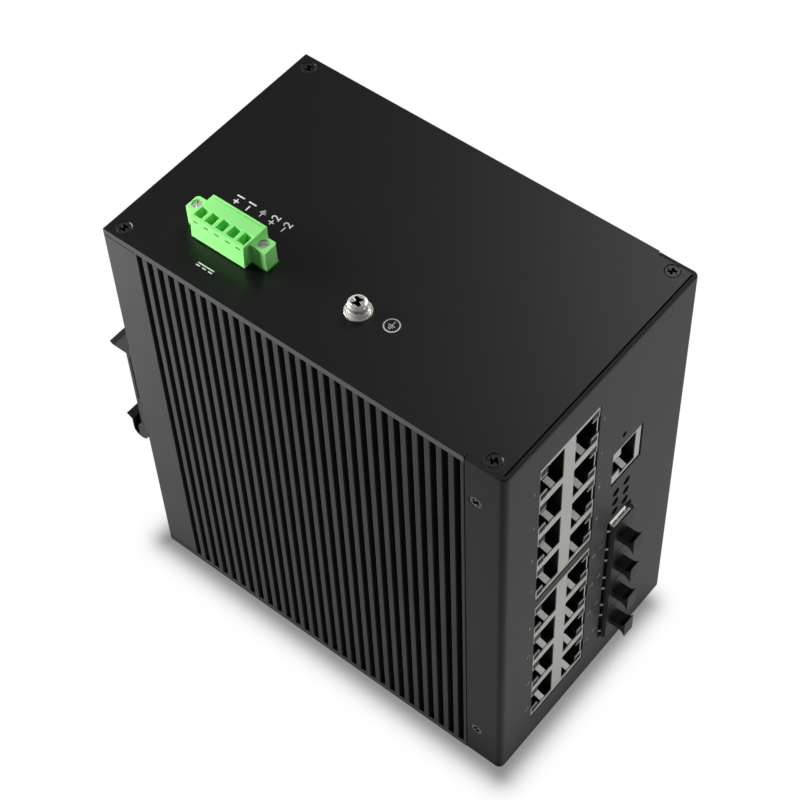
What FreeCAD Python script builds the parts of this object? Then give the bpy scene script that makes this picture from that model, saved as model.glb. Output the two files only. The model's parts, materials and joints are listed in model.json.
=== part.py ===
import FreeCAD, Part
import math
import os

# Industrial Ethernet switch for a DIN rail: two finned side extrusions, a folded front panel,
# flat covers, stacked jacks, a ganged cage for optical modules and a plug-in power terminal.
# Millimetres. The origin is the centre of the housing's underside. +X is to the right as seen
# from the front, the front faces -Y and +Z is up.

# ---------------------------------------------------------------- housing
housing_width = 77.7
housing_depth = 125.4
housing_height = 141.0
cover_thickness = 2.0
cover_front_gap = 0.1
seam_gap = 0.3
seat_gap = 0.05

# front panel: one folded sheet with a flange along each side
panel_thickness = 1.2
panel_bend_radius = 1.8
panel_edge_radius = 0.6
panel_flange_length = 11.6
window_gap = 0.15

# finned side extrusions
fin_depth = 7.0
extrusion_wall = 3.0
groove_width = 1.9
groove_pitch = 3.555
front_fin_width = 1.0
rear_block_length = 10.9
bend_relief = 1.0

# rear panel, let into a rebate of the extrusions
rear_panel_thickness = 1.5
rear_panel_lap = 5.0
rear_panel_screw_inset = 12.0

# countersunk screws
screw_radius = 1.25
cover_screw_head_radius = 2.1
panel_screw_head_radius = 2.05
cover_screw_length = 8.0
panel_screw_length = 6.0
cover_screw_side_inset = 3.5
cover_screw_front_inset = 5.85
cover_screw_rear_inset = 4.05
flange_screw_inset = 8.5
flange_screw_low = 14.1
flange_screw_high_margin = 15.3

# ---------------------------------------------------------------- DIN rail clip
rail_height = 35.0
rail_brim_thickness = 1.0
clip_side_margin = 1.7
clip_base = 4.1
clip_top = 15.8
clip_shelf_thickness = 0.9
clip_shelf_edge = 0.3
clip_rail_seat = 6.15
clip_brim_clear = 0.3
clip_lip_thickness = 1.1
clip_lip_drop = 2.1
clip_tip_reach = 10.0
clip_tip_rise = 0.7
clip_foot_clear = 0.2
clip_foot_lap = 2.7
clip_foot_slope = 1.9
clip_screw_offset = 8.0
clip_screw_head_radius = 2.8
clip_screw_radius = 1.5
clip_screw_bite = 5.0
clip_seam_depth = 0.8
clip_leaf_back = 2.6
clip_leaf_thickness = 0.36
clip_leaf_root_top = -4.0
clip_leaf_clear = 0.6
clip_leaf_room = 1.5
clip_leaf_lap = 2.4
clip_inner_lap = 0.5
clip_leaf_flare = 1.9
clip_leaf_flare_rise = 1.1

# ---------------------------------------------------------------- stacked jack blocks
jack_block_left = 13.8
jack_block_width = 23.8
jack_block_height = 57.9
jack_block_gap = 3.6
jack_block_depth = 21.0
jack_recess = 0.2
jack_port_pitch = 14.4
jack_centre_strip = 4.6
shield_thickness = 0.3
port_width = 11.7
port_height = 6.6
port_depth = 13.0
latch_width = 6.4
light_width = 2.2
light_length = 1.9
light_thickness = 0.7
light_edge_margin = 0.6
contact_pitch = 1.02
contact_width = 0.45
contact_thickness = 0.35
contact_start = 3.0
contact_rise = 1.7
tab_offset = 2.8
tab_width = 1.9
tab_length = 2.8
tab_lean = 0.9

# console jack
console_left = 45.3
console_bottom = 87.9
console_width = 12.3
console_height = 13.4
console_depth = 15.0
console_window_gap = 0.6

# ---------------------------------------------------------------- cage for optical modules
cage_left = 46.1
cage_width = 9.0
cage_bottom = 11.9
cage_height = 57.0
cage_depth = 48.0
cage_proud = 1.5
cage_wall = 0.3
cage_port_pitch = 14.25
cage_divider = 0.6
cage_window_gap = 0.9
cage_finger_height = 0.6
cage_finger_width = 1.0
cage_finger_length = 3.4
cage_finger_start = 1.1
cage_finger_spread = 8.7
cage_slot_width = 0.3
cage_slot_length = 2.3
cage_slot_pitch = 3.3
cage_slot_setback = 0.8
cage_slot_shift = 0.85
cage_pin_width = 0.8
host_connector_width = 11.6
host_connector_height = 5.4
host_connector_depth = 9.0
dust_plug_depth = 11.0
dust_plug_flange = 0.35
dust_plug_gap = 0.4
dust_plug_inset = 0.1
dust_plug_tab_width = 4.1
dust_plug_tab_offset = -0.45
dust_plug_tab_reach = 5.05
dust_plug_web = 2.4
dust_plug_tip = 7.2
dust_plug_flare = 1.9
dust_plug_curve_along = 0.55
dust_plug_curve_out = 0.3

# ---------------------------------------------------------------- status lights and reset
status_left_column = 48.0
status_column_pitch = 4.7
status_lowest_row = 73.2
status_row_pitch = 4.35
status_hole_radius = 1.4
status_pipe_radius = 1.25
status_pipe_recess = 0.5
status_holder_depth = 9.0
reset_across = 49.5
reset_up = 105.8
reset_hole_radius = 0.9
reset_body_size = 6.0
reset_body_front = 4.0
reset_body_depth = 3.6
reset_button_radius = 1.6
reset_button_length = 3.2
reset_button_setback = 0.6
reset_travel = 0.25
reset_running_gap = 0.08

# ---------------------------------------------------------------- power terminal
terminal_left = 11.5
terminal_width = 9.2
terminal_lean = 0.4
terminal_rear_inset = 16.0
terminal_height = 7.1
terminal_pitch = 3.5
terminal_poles = 5
terminal_near_ear = 4.9
terminal_far_ear = 3.6
terminal_ear_width = 4.5
terminal_ear_inset = 2.75
terminal_ear_drop = 0.9
terminal_ear_corner = 0.6
wire_hole_across = 3.2
wire_hole_along = 2.4
wire_hole_depth = 6.0
wire_hole_margin = 1.35
clamp_screw_radius = 1.15
clamp_screw_height = 3.4
clamp_screw_length = 2.6
mark_length = 1.5
mark_height = 0.4
mark_depth = 0.3
mark_drop = 1.1
edge_line_inset = 0.6
edge_line_width = 0.3
edge_line_depth = 0.3
flange_screw_radius = 1.4
flange_screw_length = 6.6
header_depth = 12.0
header_wall = 0.7
header_socket_depth = 8.3
header_lip = 0.4
header_pin_width = 1.0
header_pin_root = 1.5
header_pin_setback = 3.0
header_pin_clear = 0.2

# ---------------------------------------------------------------- ground screw
ground_across = 18.4
ground_back = 58.1
ground_flat_radius = 3.55
ground_flat_thickness = 0.5
ground_spring_radius = 3.0
ground_spring_thickness = 0.9
ground_head_radius = 2.65
ground_head_height = 2.2
ground_screw_radius = 1.5
ground_screw_length = 7.0
ground_nut_radius = 3.0
ground_nut_thickness = 2.0

# ---------------------------------------------------------------- boards and what stands on them
board_thickness = 1.6
board_front_setback = 2.4
main_board_rear_gap = 9.0
main_board_margin = 4.0
uplink_board_length = 74.0
uplink_board_bottom = 4.0
uplink_board_height = 108.0
uplink_jack_standoff = 0.2
board_hole_inset = 3.6
board_screw_radius = 1.25
board_screw_head_radius = 2.3
board_screw_head_height = 1.6
spacer_across = 5.5
spacer_thread_depth = 6.0
main_screw_bite = 2.2
main_screw_to_jack = 4.4
main_screw_rear_inset = 2.9
uplink_screw_to_main = 8.4
chip_thickness = 1.2
port_chip_size = 14.0
port_chip_to_rear = 75.4
switch_chip_size = 27.0
switch_chip_thickness = 2.4
switch_chip_back = 61.0
thermal_pad_thickness = 0.8
magnetics_across = 6.5
magnetics_along = 14.0
magnetics_tall = 20.0
magnetics_to_jack = 17.0
magnetics_pitch = 24.0
capacitor_radius = 5.0
capacitor_length = 16.0
capacitor_to_rear = 27.4
capacitor_pitch = 12.0
inductor_across = 8.0
inductor_along = 12.0
inductor_to_rear = 57.4
inductor_bottom = 37.0
inductor_pitch = 13.0
transformer_across = 18.0
transformer_along = 20.0
transformer_tall = 22.0
transformer_step = 3.0
transformer_to_rear = 43.4
transformer_bottom = 12.0
link_width = 5.0
link_length = 26.0
link_to_magnetics = 2.4
link_bottom = 79.0

# ---------------------------------------------------------------- places worked out from the sizes
left = -housing_width / 2
right = housing_width / 2
front = -housing_depth / 2
rear = housing_depth / 2
top = housing_height
middle = housing_height / 2
extrusion_thickness = fin_depth + extrusion_wall
panel_back = front + panel_thickness
flange_end = front + panel_flange_length
first_groove = flange_end + seam_gap + front_fin_width
grooved_length = rear - rear_block_length - first_groove
groove_count = int((grooved_length + groove_pitch - groove_width) / groove_pitch)
blocks_height = 2 * jack_block_height + jack_block_gap
lower_block_bottom = middle - blocks_height / 2
upper_block_bottom = lower_block_bottom + jack_block_height + jack_block_gap
jack_front = front + jack_recess
main_board_face = left + jack_block_left - seat_gap
main_board_front = front + board_front_setback
main_board_rear = rear - main_board_rear_gap
magnetics_front = jack_front + jack_block_depth + magnetics_to_jack
uplink_board_face = left + console_left - uplink_jack_standoff
terminal_length = terminal_pitch * terminal_poles
terminal_front = rear - terminal_rear_inset - terminal_far_ear - terminal_length
terminal_base = top + header_lip + seat_gap
clip_shelf_underside = clip_top - clip_shelf_thickness
clip_lip_low = clip_shelf_underside - clip_lip_drop
clip_rail_front = clip_rail_seat + rail_brim_thickness
rail_lower_edge = clip_shelf_underside - rail_height
clip_leaf_wall = clip_rail_front + clip_leaf_clear + clip_leaf_thickness
clip_leaf_bend_height = rail_lower_edge - clip_leaf_room
clip_leaf_middle = (clip_leaf_back + clip_leaf_wall) / 2
parts_folder = "parts"


def vector(x, y, z):
    return FreeCAD.Vector(x, y, z)


def box(x0, x1, y0, y1, z0, z1):
    return Part.makeBox(x1 - x0, y1 - y0, z1 - z0, vector(x0, y0, z0))


def rod(start, direction, radius, length):
    return Part.makeCylinder(radius, length, start, direction)


def prism(points, push):
    wire = Part.makePolygon(points + points[:1])
    return Part.Face(wire).extrude(push)


def join(shapes):
    return shapes[0].multiFuse(shapes[1:]).removeSplitter() if len(shapes) > 1 else shapes[0]


def group(shapes):
    return Part.makeCompound(shapes)


def mirrored(shape):
    return shape.mirror(vector(0, 0, 0), vector(1, 0, 0))


def vertical_edges(shape, y):
    found = []
    for edge in shape.Edges:
        box_of_edge = edge.BoundBox
        upright = box_of_edge.XLength < 1e-6 and box_of_edge.YLength < 1e-6
        if upright and abs(box_of_edge.YMin - y) < 1e-6:
            found.append(edge)
    return found


def rim_edges(shape):
    found = []
    for edge in shape.Edges:
        box_of_edge = edge.BoundBox
        level = box_of_edge.ZLength < 1e-6
        if level and box_of_edge.YMin < flange_end - 1e-6:
            found.append(edge)
    return found


def hexagon(start, across, push):
    corner = across / math.sqrt(3)
    points = []
    for i in range(6):
        angle = math.pi / 3 * i
        points.append(vector(start.x, start.y + corner * math.cos(angle),
                             start.z + corner * math.sin(angle)))
    return prism(points, push)


def countersunk(start, direction, head_radius, radius, length, gap=0.0):
    head = Part.makeCone(head_radius + gap, radius + gap, head_radius - radius, start, direction)
    shank = rod(start, direction, radius + gap, length + gap)
    return head.fuse(shank).removeSplitter()


def pan_head(start, direction, head_radius, head_height, radius, length):
    back = vector(-direction.x, -direction.y, -direction.z)
    head = rod(start, back, head_radius, head_height)
    shank = rod(start, direction, radius, length)
    return head.fuse(shank).removeSplitter()


# ---------------------------------------------------------------- fastener places
def cover_screw_places():
    places = []
    for side in (-1, 1):
        x = side * (housing_width / 2 - cover_screw_side_inset)
        places.append((x, front + cover_screw_front_inset))
        places.append((x, rear - cover_screw_rear_inset))
    return places


def cover_screws(surface, direction, gap=0.0):
    shapes = []
    for x, y in cover_screw_places():
        start = vector(x, y, surface)
        shapes.append(countersunk(start, direction, cover_screw_head_radius,
                                  screw_radius, cover_screw_length, gap))
    return shapes


def flange_screws(gap=0.0):
    shapes = []
    for side in (-1, 1):
        for z in (flange_screw_low, top - flange_screw_high_margin):
            start = vector(side * housing_width / 2, front + flange_screw_inset, z)
            shapes.append(countersunk(start, vector(-side, 0, 0), panel_screw_head_radius,
                                      screw_radius, panel_screw_length, gap))
    return shapes


def rear_screw_across(side):
    return side * (housing_width / 2 - (rear_panel_lap + extrusion_thickness) / 2)


def rear_panel_screws(gap=0.0):
    shapes = []
    for side in (-1, 1):
        for z in (rear_panel_screw_inset, top - rear_panel_screw_inset):
            start = vector(rear_screw_across(side), rear, z)
            shapes.append(countersunk(start, vector(0, -1, 0), panel_screw_head_radius,
                                      screw_radius, panel_screw_length, gap))
    return shapes


def clip_screws(gap=0.0):
    shapes = []
    length = clip_base + rear_panel_thickness + clip_screw_bite
    for side in (-1, 1):
        for lift in (-1, 1):
            start = vector(rear_screw_across(side), rear + clip_base,
                           middle + lift * clip_screw_offset)
            shapes.append(countersunk(start, vector(0, -1, 0), clip_screw_head_radius,
                                      clip_screw_radius, length, gap))
    return shapes


def main_board_places():
    near = jack_front + jack_block_depth + main_screw_to_jack
    far = main_board_rear - main_screw_rear_inset
    low = main_board_margin + board_hole_inset
    places = []
    for y in (near, far):
        for z in (low, top - low):
            places.append((y, z))
    return places


def uplink_board_places():
    near = jack_front + jack_block_depth + main_screw_to_jack + uplink_screw_to_main
    far = main_board_front + uplink_board_length - board_hole_inset
    low = uplink_board_bottom + board_hole_inset
    high = uplink_board_bottom + uplink_board_height - board_hole_inset
    places = []
    for y in (near, far):
        for z in (low, high):
            places.append((y, z))
    return places


# ---------------------------------------------------------------- housing pieces
def front_panel():
    outer = box(left, right, front, flange_end, 0, top)
    outer = outer.makeFillet(panel_bend_radius, vertical_edges(outer, front))
    outer = outer.makeFillet(panel_edge_radius, rim_edges(outer))
    hollow = box(left + panel_thickness, right - panel_thickness, panel_back, flange_end + 1,
                 -1, top + 1)
    inner_radius = panel_bend_radius - panel_thickness
    hollow = hollow.makeFillet(inner_radius, vertical_edges(hollow, panel_back))
    panel = outer.cut(hollow)
    cutters = []
    for bottom in (lower_block_bottom, upper_block_bottom):
        x0 = left + jack_block_left - window_gap
        x1 = left + jack_block_left + jack_block_width + window_gap
        cutters.append(box(x0, x1, front - 1, panel_back + 1, bottom - window_gap,
                           bottom + jack_block_height + window_gap))
    cutters.append(box(left + console_left - window_gap,
                       left + console_left + console_width + console_window_gap,
                       front - 1, panel_back + 1, console_bottom - console_window_gap,
                       console_bottom + console_height + window_gap))
    cutters.append(box(left + cage_left - cage_window_gap,
                       left + cage_left + cage_width + cage_window_gap,
                       front - 1, panel_back + 1, cage_bottom - cage_window_gap,
                       cage_bottom + cage_height + cage_window_gap))
    inward = vector(0, 1, 0)
    for x, z in status_places():
        cutters.append(rod(vector(x, front - 1, z), inward, status_hole_radius,
                           panel_thickness + 2))
    cutters.append(rod(vector(left + reset_across, front - 1, reset_up), inward,
                       reset_hole_radius, panel_thickness + 2))
    cutters.extend(flange_screws(seat_gap))
    return panel.cut(cutters)


def left_extrusion():
    behind_flange = box(left + panel_thickness + seat_gap, left + extrusion_thickness,
                        panel_back + seat_gap, flange_end + seam_gap,
                        cover_thickness, top - cover_thickness)
    relief_edge = []
    for edge in vertical_edges(behind_flange, panel_back + seat_gap):
        if edge.BoundBox.XMin < left + extrusion_wall:
            relief_edge.append(edge)
    behind_flange = behind_flange.makeChamfer(bend_relief, relief_edge)
    finned = box(left, left + extrusion_thickness, flange_end + seam_gap, rear,
                 cover_thickness, top - cover_thickness)
    body = behind_flange.fuse(finned).removeSplitter()
    cutters = []
    for i in range(groove_count):
        y = first_groove + i * groove_pitch
        cutters.append(box(left - 1, left + fin_depth, y, y + groove_width, 0, top))
    cutters.append(box(left + rear_panel_lap, left + extrusion_thickness + 1,
                       rear - rear_panel_thickness, rear + 1, 0, top))
    cutters.extend(cover_screws(top, vector(0, 0, -1), seat_gap))
    cutters.extend(cover_screws(0, vector(0, 0, 1), seat_gap))
    cutters.extend(flange_screws(seat_gap))
    cutters.extend(rear_panel_screws(seat_gap))
    cutters.extend(clip_screws(seat_gap))
    return body.cut(cutters)


def main_board_screw_holes():
    holes = []
    inner_face = left + extrusion_thickness
    for y, z in main_board_places():
        holes.append(rod(vector(inner_face + 1, y, z), vector(-1, 0, 0),
                         board_screw_radius + seat_gap, main_screw_bite + 1 + seat_gap))
    return holes


def left_side_heatsink():
    return left_extrusion().cut(main_board_screw_holes())


def right_side_heatsink():
    return mirrored(left_extrusion())


def cover(bottom, surface, direction):
    narrow = box(left + panel_thickness + seat_gap, right - panel_thickness - seat_gap,
                 panel_back + cover_front_gap, flange_end + seam_gap,
                 bottom, bottom + cover_thickness)
    corner_radius = panel_bend_radius - panel_thickness
    narrow = narrow.makeFillet(corner_radius, vertical_edges(narrow, panel_back + cover_front_gap))
    wide = box(left, right, flange_end + seam_gap, rear, bottom, bottom + cover_thickness)
    plate = narrow.fuse(wide).removeSplitter()
    return plate.cut(cover_screws(surface, direction, seat_gap))


def top_cover():
    plate = cover(top - cover_thickness, top, vector(0, 0, -1))
    cutters = [header_outline(top - cover_thickness - 1, top + 1, window_gap)]
    cutters.append(rod(vector(left + ground_across, front + ground_back, top + 1),
                       vector(0, 0, -1), ground_screw_radius + seat_gap, cover_thickness + 2))
    return plate.cut(cutters)


def bottom_cover():
    return cover(0, 0, vector(0, 0, 1))


def rear_panel():
    plate = box(left + rear_panel_lap + seam_gap, right - rear_panel_lap - seam_gap,
                rear - rear_panel_thickness, rear,
                cover_thickness + seat_gap, top - cover_thickness - seat_gap)
    return plate.cut(rear_panel_screws(seat_gap) + clip_screws(seat_gap))


# ---------------------------------------------------------------- DIN rail clip
def clip_point(y, z):
    return vector(left + clip_side_margin, rear + y, middle + z)


def clip_arc(radius, start_angle, end_angle):
    points = []
    for angle in (start_angle, (start_angle + end_angle) / 2, end_angle):
        points.append(clip_point(clip_leaf_middle + radius * math.cos(angle),
                                 clip_leaf_bend_height + radius * math.sin(angle)))
    return Part.Arc(points[0], points[1], points[2]).toShape()


def outline_edges(points):
    edges = []
    for start, end in zip(points, points[1:]):
        edges.append(Part.LineSegment(start, end).toShape())
    return edges


def clip_extrusion(edges):
    section = Part.Face(Part.Wire(edges))
    return section.extrude(vector(housing_width - 2 * clip_side_margin, 0, 0))


def clip_end_cuts():
    near = left + clip_side_margin
    start = clip_top - clip_shelf_edge
    drop = start - clip_lip_low + 1
    y0 = rear + clip_base
    push = vector(0, clip_tip_reach - clip_base + 1, 0)
    points = [vector(near - 1, y0, middle + start), vector(near, y0, middle + start),
              vector(near + drop, y0, middle + start - drop),
              vector(near - 1, y0, middle + start - drop)]
    undercut = prism(points, push)
    seam = box(near - 1, near + clip_seam_depth, rear + clip_leaf_back,
               rear + clip_leaf_back + clip_leaf_thickness,
               middle + clip_leaf_root_top, middle + clip_shelf_underside)
    return [undercut, mirrored(undercut), seam, mirrored(seam)]


def din_rail_clip():
    lip_front = clip_rail_front + clip_brim_clear
    lip_back = lip_front + clip_lip_thickness
    tip_top = clip_top + clip_tip_rise
    foot_top = rail_lower_edge + clip_foot_lap
    foot_reach = clip_rail_seat - clip_foot_clear
    foot_radius = clip_leaf_middle - clip_leaf_back - clip_leaf_thickness - seat_gap
    foot_angle = -math.acos((foot_reach - clip_leaf_middle) / foot_radius)
    inner_bottom = rail_lower_edge + clip_inner_lap
    slot_front = clip_leaf_back + clip_leaf_thickness + seat_gap
    slot_back = clip_leaf_back - seat_gap
    slot_top = clip_leaf_root_top + seat_gap
    foot = clip_arc(foot_radius, foot_angle, -math.pi)
    upper = [clip_point(0, clip_top), clip_point(lip_back, clip_top),
             clip_point(clip_tip_reach, tip_top),
             clip_point(clip_tip_reach, tip_top - clip_shelf_edge),
             clip_point(lip_back, clip_shelf_underside), clip_point(lip_back, clip_lip_low),
             clip_point(lip_front, clip_lip_low), clip_point(lip_front, clip_shelf_underside),
             clip_point(clip_base, clip_shelf_underside), clip_point(clip_base, foot_top),
             clip_point(foot_reach, foot_top - clip_foot_slope), foot.Vertexes[0].Point]
    lower = [foot.Vertexes[-1].Point, clip_point(slot_front, slot_top),
             clip_point(slot_back, slot_top), clip_point(slot_back, inner_bottom),
             clip_point(0, inner_bottom), clip_point(0, clip_top)]
    clip = clip_extrusion(outline_edges(upper) + [foot] + outline_edges(lower))
    return clip.cut(clip_end_cuts() + clip_screws(seat_gap))


def din_clip_spring():
    outer_radius = clip_leaf_middle - clip_leaf_back
    wall_top = rail_lower_edge + clip_leaf_lap
    inner_radius = outer_radius - clip_leaf_thickness
    outer = clip_arc(outer_radius, -math.pi, 0)
    inner = clip_arc(inner_radius, 0, -math.pi)
    slant = math.hypot(clip_leaf_flare, clip_leaf_flare_rise)
    across = clip_leaf_thickness * clip_leaf_flare_rise / slant
    along = clip_leaf_thickness * clip_leaf_flare / slant
    knee = clip_leaf_thickness * (slant - clip_leaf_flare_rise) / clip_leaf_flare
    tip_y = clip_leaf_wall + clip_leaf_flare
    tip_z = wall_top + clip_leaf_flare_rise
    wall = [outer.Vertexes[-1].Point, clip_point(clip_leaf_wall, wall_top),
            clip_point(tip_y, tip_z), clip_point(tip_y - across, tip_z + along),
            clip_point(clip_leaf_wall - clip_leaf_thickness, wall_top + knee),
            inner.Vertexes[0].Point]
    root = [inner.Vertexes[-1].Point,
            clip_point(clip_leaf_back + clip_leaf_thickness, clip_leaf_root_top),
            clip_point(clip_leaf_back, clip_leaf_root_top), outer.Vertexes[0].Point]
    leaf = clip_extrusion([outer] + outline_edges(wall) + [inner] + outline_edges(root))
    return leaf.cut(clip_screws(seat_gap))


# ---------------------------------------------------------------- stacked jacks
def port_rows(bottom):
    centre = bottom + jack_block_height / 2
    return [centre + (i - 1.5) * jack_port_pitch for i in range(4)]


def port_columns():
    centre = left + jack_block_left + jack_block_width / 2
    return [(centre - jack_centre_strip / 2, -1), (centre + jack_centre_strip / 2, 1)]


def span(start, side, near, far):
    ends = (start + side * near, start + side * far)
    return min(ends), max(ends)


def port_cutter(edge, side, z, outer_reach, y0, y1, gap=0.0):
    x0, x1 = span(edge, side, -gap, port_height + gap)
    mouth = box(x0, x1, y0, y1, z - port_width / 2 - gap, z + port_width / 2 + gap)
    x0, x1 = span(edge, side, port_height, outer_reach)
    latch = box(x0, x1, y0, y1, z - latch_width / 2, z + latch_width / 2)
    return mouth.fuse(latch)


def light_box(edge, side, z, end, y0, y1, gap=0.0):
    far = (jack_block_width - jack_centre_strip) / 2 - light_edge_margin
    x0, x1 = span(edge, side, far - light_width - gap, far + gap)
    low = z + end * (port_width / 2) - (light_length if end > 0 else 0) - gap
    return box(x0, x1, y0, y1, low, low + light_length + 2 * gap)


def grounding_tab(edge, side, z, y0, thickness):
    x0, x1 = span(edge, side, tab_offset, tab_offset + tab_width)
    wall = z - port_width / 2
    root = y0 + thickness
    tip = y0 + tab_length
    points = [vector(x0, y0, wall - thickness), vector(x0, y0, wall + thickness / 2),
              vector(x0, tip, wall + tab_lean + thickness), vector(x0, tip, wall + tab_lean),
              vector(x0, root, wall), vector(x0, root, wall - thickness)]
    return prism(points, vector(x1 - x0, 0, 0))


def open_shell(x0, x1, z0, z1, depth):
    outer = box(x0, x1, jack_front, jack_front + depth, z0, z1)
    t = shield_thickness
    inner = box(x0 + t, x1 - t, jack_front + t, jack_front + depth + 1, z0 + t, z1 - t)
    return outer.cut(inner)


def jack_shield(bottom):
    x0 = left + jack_block_left
    shell = open_shell(x0, x0 + jack_block_width, bottom, bottom + jack_block_height,
                       jack_block_depth)
    reach = (jack_block_width - jack_centre_strip) / 2
    face_back = jack_front + shield_thickness
    cutters = []
    tabs = []
    for edge, side in port_columns():
        for z in port_rows(bottom):
            cutters.append(port_cutter(edge, side, z, reach + 1, jack_front - 1,
                                       face_back + seat_gap))
            for end in (-1, 1):
                cutters.append(light_box(edge, side, z, end, jack_front - 1, face_back))
            tabs.append(grounding_tab(edge, side, z, jack_front, shield_thickness))
    return join([shell.cut(cutters)] + tabs)


def jack_housing(bottom):
    t = shield_thickness + seat_gap
    x0 = left + jack_block_left
    y0 = jack_front + t
    block = box(x0 + t, x0 + jack_block_width - t, y0, jack_front + jack_block_depth,
                bottom + t, bottom + jack_block_height - t)
    reach = (jack_block_width - jack_centre_strip) / 2
    cutters = []
    for edge, side in port_columns():
        for z in port_rows(bottom):
            cutters.append(port_cutter(edge, side, z, reach + 1, jack_front,
                                       y0 + port_depth, seat_gap))
            for end in (-1, 1):
                cutters.append(light_box(edge, side, z, end, jack_front,
                                         jack_front + light_thickness + seat_gap, seat_gap))
    return block.cut(cutters)


def contact_row(edge, side, z, y0):
    shapes = []
    y_start = y0 + contact_start
    y_end = y0 + port_depth
    for i in range(8):
        low = z + (i - 3.5) * contact_pitch - contact_width / 2
        near = edge
        far = near + side * contact_rise
        skin = side * contact_thickness
        points = [vector(near, y_start, low), vector(near + skin, y_start, low),
                  vector(far + skin, y_end, low), vector(far, y_end, low)]
        shapes.append(prism(points, vector(0, 0, contact_width)))
    return shapes


def jack_contacts(bottom):
    shapes = []
    y0 = jack_front + shield_thickness + seat_gap
    for edge, side in port_columns():
        for z in port_rows(bottom):
            shapes.extend(contact_row(edge, side, z, y0))
    return group(shapes)


def jack_light_pipes(bottom):
    shapes = []
    for edge, side in port_columns():
        for z in port_rows(bottom):
            for end in (-1, 1):
                shapes.append(light_box(edge, side, z, end, jack_front,
                                        jack_front + light_thickness, -seat_gap))
    return group(shapes)


# ---------------------------------------------------------------- console jack
def console_edge():
    return left + console_left + console_width - 2.2


def console_row():
    return console_bottom + console_height / 2


def console_jack_shield():
    x0 = left + console_left
    shell = open_shell(x0, x0 + console_width, console_bottom,
                       console_bottom + console_height, console_depth)
    mouth = port_cutter(console_edge(), -1, console_row(), console_width, jack_front - 1,
                        jack_front + shield_thickness + seat_gap)
    tab = grounding_tab(console_edge(), -1, console_row(), jack_front, shield_thickness)
    return join([shell.cut(mouth), tab])


def console_jack_housing():
    t = shield_thickness + seat_gap
    x0 = left + console_left
    y0 = jack_front + t
    block = box(x0 + t, x0 + console_width - t, y0, jack_front + console_depth,
                console_bottom + t, console_bottom + console_height - t)
    mouth = port_cutter(console_edge(), -1, console_row(), console_width, jack_front,
                        y0 + port_depth, seat_gap)
    return block.cut(mouth)


def console_jack_contacts():
    y0 = jack_front + shield_thickness + seat_gap
    return group(contact_row(console_edge(), -1, console_row(), y0))


# ---------------------------------------------------------------- cage and dust plugs
def cage_rows():
    centre = cage_bottom + cage_height / 2
    return [centre + (i - 1.5) * cage_port_pitch for i in range(4)]


def cage_port(z, gap):
    x0 = left + cage_left + cage_wall + gap
    x1 = left + cage_left + cage_width - cage_wall - gap
    half = (cage_port_pitch - cage_divider) / 2 - gap
    return x0, x1, z - half, z + half


def sfp_cage():
    x0 = left + cage_left
    x1 = x0 + cage_width
    y0 = front - cage_proud
    lid = cage_bottom + cage_height
    shell = box(x0, x1, y0, y0 + cage_depth, cage_bottom, lid)
    cutters = []
    for z in cage_rows():
        px0, px1, pz0, pz1 = cage_port(z, 0)
        cutters.append(box(px0, px1, y0 - 1, y0 + cage_depth - cage_wall, pz0, pz1))
    slot_y = y0 + cage_slot_setback
    for i in (-1, 0, 1):
        low = (x0 + x1 - cage_slot_length) / 2 - cage_slot_shift + i * cage_slot_pitch
        cutters.append(box(low, low + cage_slot_length, slot_y, slot_y + cage_slot_width,
                           lid - cage_wall, lid + 1))
    pieces = [shell.cut(cutters)]
    finger_y = y0 + cage_finger_start
    for z in cage_rows():
        for shift in (-1, 1):
            low = z + shift * cage_finger_spread / 2 - cage_finger_width / 2
            for edge, side in ((x0, -1), (x1, 1)):
                points = [vector(edge, finger_y, low),
                          vector(edge + side * cage_finger_height, finger_y + cage_finger_height,
                                 low),
                          vector(edge, finger_y + cage_finger_length, low)]
                pieces.append(prism(points, vector(0, 0, cage_finger_width)))
        for depth in (cage_depth / 4, cage_depth * 3 / 4):
            pieces.append(box(uplink_board_face, x0, y0 + depth, y0 + depth + cage_pin_width,
                              z - cage_pin_width / 2, z + cage_pin_width / 2))
    start = x0 + cage_wall
    points = [vector(start, finger_y, lid),
              vector(start, finger_y + cage_finger_height, lid + cage_finger_height),
              vector(start, finger_y + cage_finger_length, lid)]
    pieces.append(prism(points, vector(cage_slot_pitch * 2 + cage_slot_width, 0, 0)))
    return join(pieces)


def dust_plug(z):
    x0, x1, z0, z1 = cage_port(z, seat_gap)
    mouth = front - cage_proud
    y0 = mouth - dust_plug_flange
    body = box(x0, x1, mouth, mouth + dust_plug_depth, z0, z1)
    half = (cage_port_pitch - dust_plug_gap) / 2
    flange = box(left + cage_left + dust_plug_inset, left + cage_left + cage_width - dust_plug_inset,
                 y0, mouth, z - half, z + half)
    centre = (x0 + x1) / 2 + dust_plug_tab_offset
    tab_left = centre - dust_plug_tab_width / 2
    web = dust_plug_web / 2
    tip = dust_plug_tip / 2
    tip_y = y0 - dust_plug_tab_reach
    bend_y = tip_y + dust_plug_flare

    def at(y, dz):
        return vector(tab_left, y, z + dz)

    def flare(sign):
        middle_point = at(bend_y - dust_plug_flare * dust_plug_curve_along,
                          sign * (web + (tip - web) * dust_plug_curve_out))
        return Part.Arc(at(bend_y, sign * web), middle_point, at(tip_y, sign * tip)).toShape()

    edges = [Part.makeLine(at(y0, -web), at(y0, web)), Part.makeLine(at(y0, web), at(bend_y, web)),
             flare(1), Part.makeLine(at(tip_y, tip), at(tip_y, -tip)), flare(-1),
             Part.makeLine(at(bend_y, -web), at(y0, -web))]
    tab = Part.Face(Part.Wire(Part.__sortEdges__(edges)))
    return join([body, flange, tab.extrude(vector(dust_plug_tab_width, 0, 0))])


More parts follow.
